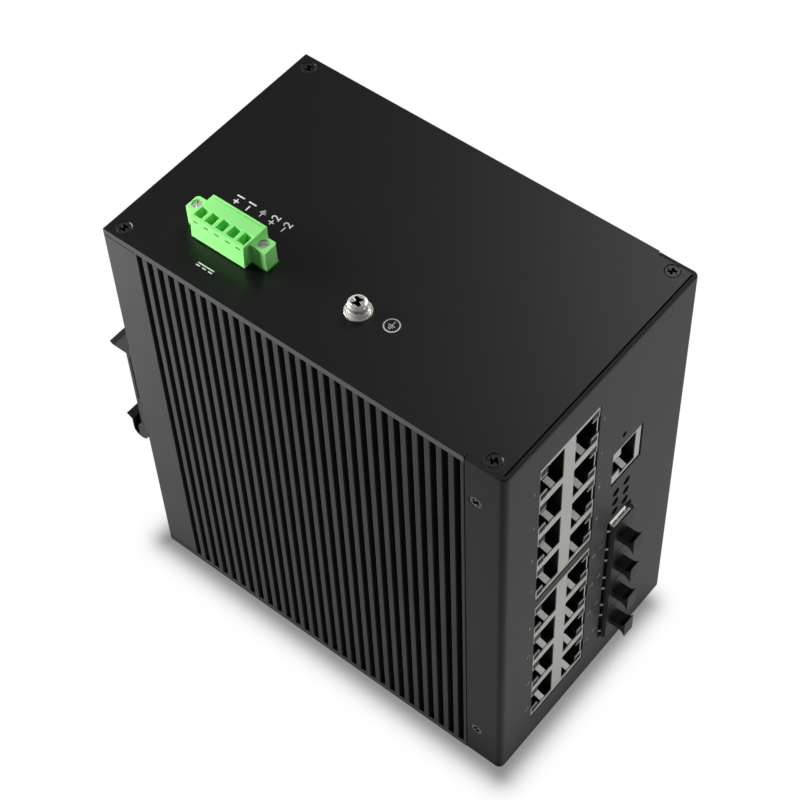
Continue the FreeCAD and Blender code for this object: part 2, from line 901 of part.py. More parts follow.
def sfp_host_connectors():
    shapes = []
    y1 = front - cage_proud + cage_depth - cage_wall - seat_gap
    half = host_connector_width / 2
    for z in cage_rows():
        x0 = cage_port(z, seat_gap)[0]
        shapes.append(box(x0, x0 + host_connector_height, y1 - host_connector_depth, y1,
                          z - half, z + half))
    return group(shapes)


# ---------------------------------------------------------------- status lights and reset
def status_places():
    places = []
    for column in range(2):
        for row in range(3):
            places.append((left + status_left_column + column * status_column_pitch,
                           status_lowest_row + row * status_row_pitch))
    return places


def status_light_pipes():
    shapes = []
    length = panel_thickness - status_pipe_recess + status_holder_depth / 2
    for x, z in status_places():
        shapes.append(rod(vector(x, front + status_pipe_recess, z), vector(0, 1, 0),
                          status_pipe_radius, length))
    return group(shapes)


def status_light_holder():
    places = status_places()
    z0 = places[0][1] - status_hole_radius - 1.0
    z1 = places[-1][1] + status_hole_radius + 1.0
    x1 = places[-1][0] + status_hole_radius + 0.8
    y0 = panel_back + seam_gap
    holder = box(uplink_board_face + seat_gap, x1, y0, y0 + status_holder_depth, z0, z1)
    bores = []
    depth = status_holder_depth / 2 - seam_gap + seat_gap
    for x, z in places:
        bores.append(rod(vector(x, y0, z), vector(0, 1, 0), status_pipe_radius + seat_gap, depth))
    return holder.cut(bores)


def reset_switch_body():
    y0 = front + reset_body_front
    half = reset_body_size / 2
    x = left + reset_across
    body = box(uplink_board_face + seat_gap, x + half, y0, y0 + reset_body_depth,
               reset_up - half, reset_up + half)
    bore = rod(vector(x, y0 - 1, reset_up), vector(0, 1, 0),
               reset_button_radius + reset_running_gap, reset_bore_depth() + 1)
    return body.cut(bore)


def reset_bore_depth():
    inside = reset_button_length + reset_button_setback + panel_thickness - reset_body_front
    return inside + reset_travel + reset_running_gap


def reset_button():
    start = vector(left + reset_across, panel_back + reset_button_setback, reset_up)
    return rod(start, vector(0, 1, 0), reset_button_radius, reset_button_length)


# ---------------------------------------------------------------- power terminal
def terminal_pole_places():
    first = terminal_front + terminal_pitch / 2
    return [first + i * terminal_pitch for i in range(terminal_poles)]


def terminal_ears():
    y0 = terminal_front
    y1 = y0 + terminal_length
    return [(y0 - terminal_near_ear, y0), (y1, y1 + terminal_far_ear)]


def ear_span():
    x0 = left + terminal_left + terminal_ear_inset
    return x0, x0 + terminal_ear_width


def ear_screw_place(ear):
    x0, x1 = ear_span()
    return (x0 + x1) / 2, (ear[0] + ear[1]) / 2


def header_outline(z0, z1, gap):
    x1 = left + terminal_left + terminal_width
    pieces = [box(main_board_face + seat_gap - gap, x1 + gap, terminal_front - gap,
                  terminal_front + terminal_length + gap, z0, z1)]
    ex0, ex1 = ear_span()
    for near, far in terminal_ears():
        pieces.append(box(ex0 - gap, ex1 + gap, near - gap, far + gap, z0, z1))
    return join(pieces)


def socket_span():
    x0 = main_board_face + seat_gap + header_wall
    x1 = left + terminal_left + terminal_width - header_wall
    y0 = terminal_front + header_wall
    return x0, x1, y0, y0 + terminal_length - 2 * header_wall


def power_terminal_header():
    body = header_outline(top - header_depth, top + header_lip, 0)
    x0, x1, y0, y1 = socket_span()
    cutters = [box(x0, x1, y0, y1, top + header_lip - header_socket_depth, top + 2)]
    for ear in terminal_ears():
        x, y = ear_screw_place(ear)
        depth = flange_screw_length - flange_screw_seat() + header_lip
        cutters.append(rod(vector(x, y, top + 2), vector(0, 0, -1),
                           screw_radius + seat_gap, depth + 2))
    for y in terminal_pole_places():
        cutters.append(pin_shape(y, seat_gap))
    return body.cut(cutters)


def pin_column():
    x0, x1, y0, y1 = socket_span()
    return (x0 + x1) / 2


def pin_shape(y, gap=0.0):
    half = header_pin_width / 2 + gap
    x = pin_column()
    root = top - header_depth + header_pin_root
    upright = box(x - half, x + half, y - half, y + half, root - half,
                  top - header_pin_setback + gap)
    foot = box(main_board_face - board_thickness - gap, x + half, y - half, y + half,
               root - half, root + half)
    return upright.fuse(foot).removeSplitter()


def power_header_pins():
    return group([pin_shape(y) for y in terminal_pole_places()])


def plug_ear_top():
    return terminal_base + terminal_height - terminal_ear_drop


def flange_screw_seat():
    return terminal_height - terminal_ear_drop - 0.6


def plug_ear(near, far, outer):
    ex0, ex1 = ear_span()
    inner = near + far - outer
    toward = math.copysign(terminal_ear_corner, inner - outer)
    points = [vector(ex0, inner, terminal_base), vector(ex0, outer, terminal_base),
              vector(ex1 - terminal_ear_corner, outer, terminal_base),
              vector(ex1, outer + toward, terminal_base), vector(ex1, inner, terminal_base)]
    return prism(points, vector(0, 0, plug_ear_top() - terminal_base))


def power_terminal_plug():
    x0 = left + terminal_left
    x1 = x0 + terminal_width
    y0 = terminal_front
    roof = terminal_base + terminal_height
    section = [vector(x0, y0, terminal_base), vector(x1, y0, terminal_base),
               vector(x1, y0, roof), vector(x0 + terminal_lean, y0, roof)]
    body = prism(section, vector(0, terminal_length, 0))
    sx0, sx1, sy0, sy1 = socket_span()
    tongue = box(sx0 + window_gap, sx1 - window_gap, sy0 + window_gap, sy1 - window_gap,
                 top + header_lip - header_socket_depth + window_gap, terminal_base)
    pieces = [body, tongue]
    near_ear, far_ear = terminal_ears()
    pieces.append(plug_ear(near_ear[0], near_ear[1], near_ear[0]))
    pieces.append(plug_ear(far_ear[0], far_ear[1], far_ear[1]))
    cutters = []
    for y in terminal_pole_places():
        hx0 = x0 + wire_hole_margin
        cutters.append(box(hx0, hx0 + wire_hole_across, y - wire_hole_along / 2,
                           y + wire_hole_along / 2, roof - wire_hole_depth, roof + 1))
        cutters.append(rod(vector(x1 + 1, y, roof - clamp_screw_height), vector(-1, 0, 0),
                           clamp_screw_radius + seat_gap, clamp_screw_length + 1.5))
        cutters.append(box(x0 - 1, x0 + terminal_lean + mark_depth, y - mark_length / 2,
                           y + mark_length / 2, roof - mark_drop - mark_height,
                           roof - mark_drop))
        cutters.append(pin_socket(y))
    line_end = x1 - edge_line_inset
    cutters.append(box(line_end - edge_line_width, line_end, y0 - 1, y0 + terminal_length + 1,
                       roof - edge_line_depth, roof + 1))
    for ear in terminal_ears():
        x, y = ear_screw_place(ear)
        cutters.append(rod(vector(x, y, plug_ear_top() + 1), vector(0, 0, -1),
                           flange_screw_radius + seat_gap, 2.1))
        cutters.append(rod(vector(x, y, plug_ear_top()), vector(0, 0, -1),
                           screw_radius + seat_gap, terminal_height + 1))
    return join(pieces).cut(cutters)


def pin_socket(y):
    half = header_pin_width / 2 + window_gap
    x = pin_column()
    return box(x - half, x + half, y - half, y + half, top - header_depth,
               top - header_pin_setback + header_pin_clear)


def power_plug_flange_screws():
    shapes = []
    for ear in terminal_ears():
        x, y = ear_screw_place(ear)
        neck = plug_ear_top() - 1.0
        shapes.append(pan_head(vector(x, y, neck), vector(0, 0, -1), flange_screw_radius, 0.8,
                               screw_radius, flange_screw_length))
    return group(shapes)


def power_plug_clamp_screws():
    shapes = []
    x1 = left + terminal_left + terminal_width - 0.4
    z = terminal_base + terminal_height - clamp_screw_height
    for y in terminal_pole_places():
        shapes.append(rod(vector(x1, y, z), vector(-1, 0, 0), clamp_screw_radius,
                          clamp_screw_length))
    return group(shapes)


def power_plug_wire_clamps():
    shapes = []
    x0 = left + terminal_left + wire_hole_margin + seat_gap
    floor = terminal_base + terminal_height - wire_hole_depth + seat_gap
    half = wire_hole_along / 2 - seat_gap
    for y in terminal_pole_places():
        block = box(x0, x0 + wire_hole_across - 2 * seat_gap, y - half, y + half,
                    floor, floor + 2.4)
        mouth = box(x0 + 0.5, x0 + wire_hole_across - 0.6, y - half + 0.4, y + half - 0.4,
                    floor + 0.6, floor + 3.0)
        shapes.append(block.cut(mouth))
    return group(shapes)


# ---------------------------------------------------------------- ground screw
def ground_place(height):
    return vector(left + ground_across, front + ground_back, top + height)


def ground_flat_washer():
    ring = rod(ground_place(0), vector(0, 0, 1), ground_flat_radius, ground_flat_thickness)
    hole = rod(ground_place(-1), vector(0, 0, 1), ground_screw_radius + seat_gap,
               ground_flat_thickness + 2)
    return ring.cut(hole)


def ground_spring_washer():
    base = ground_flat_thickness
    ring = rod(ground_place(base), vector(0, 0, 1), ground_spring_radius,
               ground_spring_thickness)
    hole = rod(ground_place(base - 1), vector(0, 0, 1), ground_screw_radius + seat_gap,
               ground_spring_thickness + 2)
    centre = ground_place(base)
    split = box(centre.x, centre.x + ground_spring_radius + 1, centre.y - 0.25, centre.y + 0.25,
                centre.z - 1, centre.z + ground_spring_thickness + 1)
    return ring.cut([hole, split])


def ground_screw():
    neck = ground_flat_thickness + ground_spring_thickness
    screw = pan_head(ground_place(neck), vector(0, 0, -1), ground_head_radius,
                     ground_head_height, ground_screw_radius, ground_screw_length)
    return screw


def ground_nut():
    start = ground_place(-cover_thickness)
    nut = rod(start, vector(0, 0, -1), ground_nut_radius, ground_nut_thickness)
    hole = rod(ground_place(0), vector(0, 0, -1), ground_screw_radius + seat_gap,
               cover_thickness + ground_nut_thickness + 1)
    return nut.cut(hole)


# ---------------------------------------------------------------- boards
def main_board():
    x1 = main_board_face
    board = box(x1 - board_thickness, x1, main_board_front, main_board_rear,
                main_board_margin, top - main_board_margin)
    holes = []
    for y, z in main_board_places() + uplink_board_places():
        holes.append(rod(vector(x1 + 1, y, z), vector(-1, 0, 0), board_screw_radius + seat_gap,
                         board_thickness + 2))
    for y in terminal_pole_places():
        holes.append(pin_shape(y, seat_gap))
    return board.cut(holes)


def main_board_spacers():
    shapes = []
    x0 = left + extrusion_thickness
    length = main_board_face - board_thickness - x0
    for y, z in main_board_places():
        ring = hexagon(vector(x0, y, z), spacer_across, vector(length, 0, 0))
        bore = rod(vector(x0 - 1, y, z), vector(1, 0, 0), board_screw_radius + seat_gap,
                   length + 2)
        shapes.append(ring.cut(bore))
    return group(shapes)


def main_board_screws():
    shapes = []
    for y, z in main_board_places():
        length = main_board_face - (left + extrusion_thickness) + main_screw_bite
        shapes.append(pan_head(vector(main_board_face, y, z), vector(-1, 0, 0),
                               board_screw_head_radius, board_screw_head_height,
                               board_screw_radius, length))
    return group(shapes)


def uplink_board():
    x1 = uplink_board_face
    board = box(x1 - board_thickness, x1, main_board_front, main_board_front + uplink_board_length,
                uplink_board_bottom, uplink_board_bottom + uplink_board_height)
    holes = []
    for y, z in uplink_board_places():
        holes.append(rod(vector(x1 + 1, y, z), vector(-1, 0, 0), board_screw_radius + seat_gap,
                         board_thickness + 2))
    return board.cut(holes)


def uplink_board_spacers():
    shapes = []
    length = uplink_board_face - board_thickness - main_board_face
    for y, z in uplink_board_places():
        pillar = hexagon(vector(main_board_face, y, z), spacer_across, vector(length, 0, 0))
        bore = rod(vector(main_board_face + length + 1, y, z), vector(-1, 0, 0),
                   board_screw_radius + seat_gap, spacer_thread_depth + 1 + seat_gap)
        tail = rod(vector(main_board_face, y, z), vector(-1, 0, 0), board_screw_radius,
                   board_thickness)
        shapes.append(pillar.cut(bore).fuse(tail).removeSplitter())
    return group(shapes)


def uplink_board_screws():
    shapes = []
    for y, z in uplink_board_places():
        shapes.append(pan_head(vector(uplink_board_face, y, z), vector(-1, 0, 0),
                               board_screw_head_radius, board_screw_head_height,
                               board_screw_radius, board_thickness + spacer_thread_depth))
    return group(shapes)


def board_link_connectors():
    far = uplink_board_face - board_thickness
    half = (far - main_board_face) / 2
    return group([link_half(main_board_face, main_board_face + half), link_half(far - half, far)])


def link_half(x0, x1):
    y0 = magnetics_front + magnetics_along + link_to_magnetics
    return box(x0, x1, y0, y0 + link_width, link_bottom, link_bottom + link_length)


def stack_rows(count, pitch):
    return [middle + (i - (count - 1) / 2) * pitch for i in range(count)]


def port_chips():
    shapes = []
    x1 = main_board_face - board_thickness
    y0 = rear - port_chip_to_rear
    half = port_chip_size / 2
    for z in stack_rows(4, magnetics_pitch):
        shapes.append(box(x1 - chip_thickness, x1, y0, y0 + port_chip_size, z - half, z + half))
    return group(shapes)


def port_chip_pads():
    shapes = []
    x0 = left + extrusion_thickness
    x1 = main_board_face - board_thickness - chip_thickness
    y0 = rear - port_chip_to_rear
    half = port_chip_size / 2
    for z in stack_rows(4, magnetics_pitch):
        shapes.append(box(x0, x1, y0, y0 + port_chip_size, z - half, z + half))
    return group(shapes)


def switch_chip_box(x0, x1):
    y = front + switch_chip_back
    half = switch_chip_size / 2
    return box(x0, x1, y - half, y + half, middle - half, middle + half)


def switch_chip():
    return switch_chip_box(uplink_board_face, uplink_board_face + switch_chip_thickness)


def switch_chip_pad():
    x0 = uplink_board_face + switch_chip_thickness
    return switch_chip_box(x0, x0 + thermal_pad_thickness)


def switch_heat_spreader():
    x0 = uplink_board_face + switch_chip_thickness + thermal_pad_thickness
    return switch_chip_box(x0, right - extrusion_thickness)


def magnetics_modules():
    shapes = []
    x1 = main_board_face + magnetics_across
    half = magnetics_tall / 2
    for z in stack_rows(4, magnetics_pitch):
        shapes.append(box(main_board_face, x1, magnetics_front, magnetics_front + magnetics_along,
                          z - half, z + half))
    return group(shapes)


def filter_capacitors():
    shapes = []
    for z in stack_rows(4, capacitor_pitch):
        shapes.append(rod(vector(main_board_face, rear - capacitor_to_rear, z), vector(1, 0, 0),
                          capacitor_radius, capacitor_length))
    return group(shapes)


def power_inductors():
    shapes = []
    x1 = main_board_face + inductor_across
    y0 = rear - inductor_to_rear
    for i in range(3):
        z0 = inductor_bottom + i * inductor_pitch
        shapes.append(box(main_board_face, x1, y0, y0 + inductor_along, z0, z0 + inductor_along))
    return group(shapes)


def power_transformer():
    x1 = main_board_face + transformer_across
    y0 = rear - transformer_to_rear
    y1 = y0 + transformer_along
    z0 = transformer_bottom
    z1 = z0 + transformer_tall
    step = transformer_step
    bobbin = box(main_board_face, x1, y0 + step, y1 - step, z0 + step, z1 - step)
    core = box(main_board_face + step, x1 - step, y0, y1, z0, z1)
    return join([bobbin, core])


# ---------------------------------------------------------------- every piece, one file each
def build():
    down = vector(0, 0, -1)
    up = vector(0, 0, 1)
    pieces = {
        "front_panel": front_panel(),
        "left_side_heatsink": left_side_heatsink(),
        "right_side_heatsink": right_side_heatsink(),
        "top_cover": top_cover(),
        "bottom_cover": bottom_cover(),
        "rear_panel": rear_panel(),
        "top_cover_screws": group(cover_screws(top, down)),
        "bottom_cover_screws": group(cover_screws(0, up)),
        "front_panel_screws": group(flange_screws()),
        "rear_panel_screws": group(rear_panel_screws()),
        "din_rail_clip": din_rail_clip(),
        "din_clip_spring": din_clip_spring(),
        "din_clip_screws": group(clip_screws()),
        "console_jack_shield": console_jack_shield(),
        "console_jack_housing": console_jack_housing(),
        "console_jack_contacts": console_jack_contacts(),
        "sfp_cage": sfp_cage(),
        "sfp_host_connectors": sfp_host_connectors(),
        "status_light_pipes": status_light_pipes(),
        "status_light_holder": status_light_holder(),
        "reset_switch_body": reset_switch_body(),
        "reset_button": reset_button(),
        "power_terminal_plug": power_terminal_plug(),
        "power_plug_flange_screws": power_plug_flange_screws(),
        "power_plug_clamp_screws": power_plug_clamp_screws(),
        "power_plug_wire_clamps": power_plug_wire_clamps(),
        "power_terminal_header": power_terminal_header(),
        "power_header_pins": power_header_pins(),
        "ground_screw": ground_screw(),
        "ground_spring_washer": ground_spring_washer(),
        "ground_flat_washer": ground_flat_washer(),
        "ground_nut": ground_nut(),
        "main_board": main_board(),
        "main_board_spacers": main_board_spacers(),
        "main_board_screws": main_board_screws(),
        "uplink_board": uplink_board(),
        "uplink_board_spacers": uplink_board_spacers(),
        "uplink_board_screws": uplink_board_screws(),
        "board_link_connectors": board_link_connectors(),
        "port_chips": port_chips(),
        "port_chip_pads": port_chip_pads(),
        "switch_chip": switch_chip(),
        "switch_chip_pad": switch_chip_pad(),
        "switch_heat_spreader": switch_heat_spreader(),
        "magnetics_modules": magnetics_modules(),
        "filter_capacitors": filter_capacitors(),
        "power_inductors": power_inductors(),
        "power_transformer": power_transformer(),
    }
    for name, bottom in (("lower", lower_block_bottom), ("upper", upper_block_bottom)):
        pieces["jack_shield_" + name] = jack_shield(bottom)
        pieces["jack_housing_" + name] = jack_housing(bottom)
        pieces["jack_contacts_" + name] = jack_contacts(bottom)
        pieces["jack_light_pipes_" + name] = jack_light_pipes(bottom)
    for number, z in enumerate(reversed(cage_rows()), start=1):
        pieces["sfp_dust_plug_%d" % number] = dust_plug(z)
    return pieces


def check_and_save(pieces):
    os.makedirs(parts_folder, exist_ok=True)
    for name, shape in pieces.items():
        if not shape.isValid():
            raise ValueError(name + " is not a valid shape")
        shape.exportStep(os.path.join(parts_folder, name + ".step"))
        print(name, len(shape.Solids), "solids", round(shape.Volume, 1), "mm3")
    print(len(pieces), "files")


check_and_save(build())
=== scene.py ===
import json
import math

import bmesh
import bpy
from mathutils import Matrix, Vector


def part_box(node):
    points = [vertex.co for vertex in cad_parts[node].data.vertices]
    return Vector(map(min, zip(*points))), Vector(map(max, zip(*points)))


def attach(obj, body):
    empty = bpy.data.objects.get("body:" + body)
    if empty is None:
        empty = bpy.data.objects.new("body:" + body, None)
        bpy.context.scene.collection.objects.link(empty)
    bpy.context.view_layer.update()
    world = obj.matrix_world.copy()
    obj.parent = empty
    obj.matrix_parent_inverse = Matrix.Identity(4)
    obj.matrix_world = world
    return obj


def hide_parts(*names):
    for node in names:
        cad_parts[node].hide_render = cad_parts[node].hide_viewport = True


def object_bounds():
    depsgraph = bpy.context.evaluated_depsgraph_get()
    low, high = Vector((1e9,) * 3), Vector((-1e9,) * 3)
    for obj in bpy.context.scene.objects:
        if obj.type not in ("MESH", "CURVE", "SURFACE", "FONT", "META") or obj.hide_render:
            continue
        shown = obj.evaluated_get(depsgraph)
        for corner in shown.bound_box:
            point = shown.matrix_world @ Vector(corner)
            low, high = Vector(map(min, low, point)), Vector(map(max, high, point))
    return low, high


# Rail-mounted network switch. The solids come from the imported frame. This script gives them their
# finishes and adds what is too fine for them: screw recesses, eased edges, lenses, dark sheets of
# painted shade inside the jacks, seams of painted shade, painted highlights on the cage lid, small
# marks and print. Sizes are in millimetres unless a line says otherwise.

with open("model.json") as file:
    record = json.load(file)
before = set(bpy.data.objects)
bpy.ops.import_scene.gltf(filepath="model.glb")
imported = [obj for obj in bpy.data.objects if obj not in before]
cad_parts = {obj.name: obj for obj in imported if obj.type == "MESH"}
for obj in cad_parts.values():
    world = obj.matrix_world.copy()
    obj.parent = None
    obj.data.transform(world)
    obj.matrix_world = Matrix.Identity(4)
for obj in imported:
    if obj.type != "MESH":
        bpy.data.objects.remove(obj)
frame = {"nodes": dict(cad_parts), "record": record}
cad_bounds = [list(corner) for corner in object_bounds()]
nodes = frame["nodes"]
MM = 0.001
HOUSING = "housing"


def box_in_mm(node):
    """Lowest and highest corner of a node, in millimetres."""
    return [Vector(corner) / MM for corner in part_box(node)]


# ---------------------------------------------------------------- colours
def linear(hex_code):
    """A colour written in hex, as the linear values that a shader takes."""
    channels = [int(hex_code[i:i + 2], 16) / 255 for i in (1, 3, 5)]
    flat = [c / 12.92 if c <= 0.04045 else ((c + 0.055) / 1.055) ** 2.4 for c in channels]
    return (*flat, 1.0)


def shade(colour, factor):
    return (colour[0] * factor, colour[1] * factor, colour[2] * factor, 1.0)


# ---------------------------------------------------------------- finishes
BLOTCH_SCALE = 45.0
NOISE_DETAIL = 3.0
ROUNDING_SAMPLES = 4


def start_material(name):
    material = bpy.data.materials.new(name)
    material.use_nodes = True
    tree = material.node_tree
    shader = tree.nodes["Principled BSDF"]
    place = tree.nodes.new("ShaderNodeTexCoord")
    return material, tree, shader, place.outputs["Object"]


def noise(tree, place, scale, stretch=(1.0, 1.0, 1.0)):
    mapping = tree.nodes.new("ShaderNodeMapping")
    mapping.inputs["Scale"].default_value = stretch
    grain = tree.nodes.new("ShaderNodeTexNoise")
    grain.inputs["Scale"].default_value = scale
    grain.inputs["Detail"].default_value = NOISE_DETAIL
    tree.links.new(place, mapping.inputs["Vector"])
    tree.links.new(mapping.outputs["Vector"], grain.inputs["Vector"])
    return grain.outputs["Fac"]


def ramp(tree, value, low_colour, high_colour, low=0.3, high=0.7):
    node = tree.nodes.new("ShaderNodeValToRGB")
    node.color_ramp.elements[0].position = low
    node.color_ramp.elements[0].color = low_colour
    node.color_ramp.elements[1].position = high
    node.color_ramp.elements[1].color = high_colour
    tree.links.new(value, node.inputs["Fac"])
    return node.outputs["Color"]


def range_of(tree, value, low, high):
    node = tree.nodes.new("ShaderNodeMapRange")
    node.inputs["To Min"].default_value = low
    node.inputs["To Max"].default_value = high
    tree.links.new(value, node.inputs["Value"])
    return node.outputs["Result"]


def relief(tree, shader, height, depth, rounding):
    """Fine grain of a depth over softly rounded edges, both in metres."""
    edge = tree.nodes.new("ShaderNodeBevel")
    edge.samples = ROUNDING_SAMPLES
    edge.inputs["Radius"].default_value = rounding
    bump = tree.nodes.new("ShaderNodeBump")
    bump.inputs["Distance"].default_value = depth
    bump.inputs["Strength"].default_value = 1.0
    tree.links.new(height, bump.inputs["Height"])
    tree.links.new(edge.outputs["Normal"], bump.inputs["Normal"])
    tree.links.new(bump.outputs["Normal"], shader.inputs["Normal"])


def math_node(tree, operation, value, other=0.0):
    node = tree.nodes.new("ShaderNodeMath")
    node.operation = operation
    tree.links.new(value, node.inputs[0])
    node.inputs[1].default_value = other
    return node.outputs[0]


def tone_by_side(tree, place, outer, inner, outer_from, axis):
    """The outer tone past a distance from the middle along an axis, and the inner tone within it.
    The finishes here use it to paint light and shade.
    """
    split = tree.nodes.new("ShaderNodeSeparateXYZ")
    tree.links.new(place, split.inputs[0])
    across = math_node(tree, "ABSOLUTE", split.outputs[axis])
    outside = math_node(tree, "GREATER_THAN", across, outer_from * MM)
    mix = tree.nodes.new("ShaderNodeMix")
    mix.data_type = "RGBA"
    tree.links.new(outside, mix.inputs["Factor"])
    for socket in mix.inputs:
        if socket.name == "A" and socket.type == "RGBA":
            socket.default_value = inner
        if socket.name == "B" and socket.type == "RGBA":
            tree.links.new(outer, socket)
    return [socket for socket in mix.outputs if socket.type == "RGBA"][0]


def finish_material(name, colour, roughness, metallic=0.0, specular=0.5, grain=3000.0,
                    depth=0.00001, variation=0.06, stretch=(1.0, 1.0, 1.0), rounding=0.00015,
                    roughness_spread=0.06, inner_colour=None, outer_from=0.0, axis="X"):
    """A finish with a slightly blotchy colour and a fine grain. Depth and rounding are in metres."""
    material, tree, shader, place = start_material(name)
    base = linear(colour)
    broad = noise(tree, place, BLOTCH_SCALE)
    tint = ramp(tree, broad, shade(base, 1 - variation), shade(base, 1 + variation))
    if inner_colour:
        tint = tone_by_side(tree, place, tint, linear(inner_colour), outer_from, axis)
    tree.links.new(tint, shader.inputs["Base Color"])
    fine = noise(tree, place, grain, stretch)
    rough = range_of(tree, fine, roughness - roughness_spread, roughness + roughness_spread)
    tree.links.new(rough, shader.inputs["Roughness"])
    shader.inputs["Metallic"].default_value = metallic
    shader.inputs["Specular IOR Level"].default_value = specular
    relief(tree, shader, fine, depth, rounding)
    return material


COVER_LIT_EDGE = 0.1
FIN_TIP = 0.5
SHIELD_FRONT_BAND = 0.35
side_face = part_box("right_side_heatsink")[1][0] / MM
jack_face = abs(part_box("jack_shield_upper")[0][1]) / MM

# Painted light and shade: the covers' faces are near-black for the dim light from above, and a thin
# band at their side edges is lighter, as lit as the extrusions that it meets.
cover_paint = finish_material("cover_powder_coat", "#303031", 0.36, specular=0.4,
                              grain=5200.0, depth=0.000008, inner_colour="#0a0a0a",
                              outer_from=side_face - COVER_LIT_EDGE)
panel_paint = finish_material("panel_powder_coat", "#343334", 0.45, specular=0.05,
                              grain=5200.0, depth=0.000008)
# Painted light and shade: the fin tips get a lighter tone and the inside of the grooves a darker
# one, two tones of the one anodised finish set for how bright each comes out under the lamps.
fin_anodise = finish_material("anodised_extrusion", "#525253", 0.45, specular=0.015,
                              grain=2400.0, depth=0.000004, stretch=(1.0, 1.0, 0.03),
                              inner_colour="#3c3c3e", outer_from=side_face - FIN_TIP)
clip_anodise = finish_material("anodised_clip", "#38383a", 0.45, specular=0.06,
                               grain=2400.0, depth=0.000004, stretch=(0.03, 1.0, 1.0))
black_screw = finish_material("black_zinc_screw", "#343435", 0.3, metallic=0.5, specular=0.5,
                              grain=1800.0, depth=0.000003)
# Painted light: deep inside the jacks the shield sheet is white, so that its tabs come out bright in
# the shade of the jack; a thin band at the front keeps the sheet's own tone.
jack_metal = finish_material("tinned_sheet", "#9b9994", 0.4, metallic=0.2, specular=0.5,
                             grain=2600.0, depth=0.000003, variation=0.04, rounding=0.00006,
                             inner_colour="#ffffff", outer_from=jack_face - SHIELD_FRONT_BAND,
                             axis="Y")
# Painted highlight: a near-white finish for strips on the lid of the stainless cage, standing in for
# the light that the lid catches.
painted_lid_highlight = finish_material("painted_lid_highlight", "#fbfaf4", 0.4, specular=0.5, grain=2600.0,
                             depth=0.000002, variation=0.02, rounding=0.00004)
cage_metal = finish_material("stainless_cage", "#6b6b66", 0.3, metallic=1.0, specular=0.5,
                             grain=2600.0, depth=0.000002, variation=0.05, rounding=0.00006)
jack_plastic = finish_material("jack_moulding", "#0b0b0a", 0.5, specular=0.25, grain=4000.0,
                               depth=0.000005)
contact_gold = finish_material("gold_flash", "#a5843c", 0.3, metallic=1.0, grain=3000.0,
                               depth=0.000001, rounding=0.00005)
light_green = finish_material("tinted_light_pipe", "#1d2405", 0.35, specular=0.03, grain=900.0,
                              depth=0.000004, rounding=0.0001)
light_smoke = finish_material("smoked_light_pipe", "#0a0a07", 0.4, specular=0.03, grain=900.0,
                              depth=0.000004, rounding=0.0001)
dark_pipe = finish_material("unlit_light_pipe", "#050505", 0.5, specular=0.15, grain=900.0,
                            depth=0.000004, rounding=0.0001)
seam_black = finish_material("seam_shadow", "#020202", 0.8, specular=0.0, grain=900.0,
                             depth=0.000002, variation=0.02, rounding=0.00004)
plug_rubber = finish_material("dust_plug_rubber", "#0c0b0c", 0.55, specular=0.2, grain=3600.0,
                              depth=0.000008, rounding=0.0003)
terminal_green = finish_material("terminal_moulding", "#9dfc8f", 0.4, specular=0.4,
                                 grain=2600.0, depth=0.000004, variation=0.03)
mark_green = finish_material("moulding_shade", "#0d3a0a", 0.6, specular=0.1, grain=2600.0,
                             depth=0.000002, rounding=0.00004)
header_green = finish_material("header_moulding", "#35a52e", 0.45, specular=0.4, grain=2600.0,
                               depth=0.000005)
nickel = finish_material("nickel_plate", "#f0eee8", 0.25, metallic=0.6, grain=1500.0,
                         depth=0.000002, variation=0.03)
spring_steel = finish_material("spring_steel", "#4a4a4c", 0.35, metallic=0.9, grain=1500.0,
                               depth=0.000003, stretch=(0.05, 1.0, 1.0))
board_green = finish_material("solder_mask", "#1f4d2b", 0.35, specular=0.5, grain=700.0,
                              depth=0.000006)
chip_black = finish_material("chip_package", "#161616", 0.55, grain=3500.0, depth=0.000006)
pad_grey = finish_material("gap_pad", "#8a8f98", 0.7, grain=2000.0, depth=0.00001)
bare_aluminium = finish_material("milled_aluminium", "#b9bbbd", 0.35, metallic=0.9,
                                 grain=1500.0, depth=0.000004, stretch=(1.0, 0.05, 1.0))
can_blue = finish_material("capacitor_sleeve", "#2b3150", 0.3, specular=0.5, grain=900.0,
                           depth=0.000004)
ferrite = finish_material("ferrite_core", "#2c2c2e", 0.6, grain=2600.0, depth=0.00001)
button_white = finish_material("plunger_moulding", "#d8d8d4", 0.4, grain=2600.0, depth=0.000004)
print_white = finish_material("print_ink", "#e8e8e8", 0.6, specular=0.2, grain=6000.0,
                              depth=0.000002)
print_grey = finish_material("faded_print_ink", "#8c8b8c", 0.6, specular=0.2, grain=6000.0,
                             depth=0.000002)

finishes = {
    "cover_paint": cover_paint, "panel_paint": panel_paint, "fin_anodise": fin_anodise,
    "clip_anodise": clip_anodise, "black_screw": black_screw, "jack_metal": jack_metal,
    "jack_plastic": jack_plastic, "contact_gold": contact_gold, "light_green": light_green,
    "light_smoke": dark_pipe, "plug_rubber": plug_rubber, "terminal_green": terminal_green,
    "header_green": header_green, "nickel": nickel, "spring_steel": spring_steel,
    "board_green": board_green, "chip_black": chip_black, "holder_black": jack_plastic,
    "pad_grey": pad_grey, "bare_aluminium": bare_aluminium, "capacitor_can": can_blue,
    "ferrite": ferrite, "button_white": button_white,
}
slots = {part["node"]: part["material_slot"] for part in frame["record"]["subparts"]}


def give(piece, material):
    piece.data.materials.clear()
    piece.data.materials.append(material)


for node, slot in slots.items():
    give(nodes[node], finishes[slot])
give(nodes["sfp_cage"], cage_metal)


# ---------------------------------------------------------------- making and placing pieces
MERGE_DISTANCE = 0.001
EDGE_STEPS = 2
FLAT_ANGLE = 0.5
EASED_ANGLE = 35.0


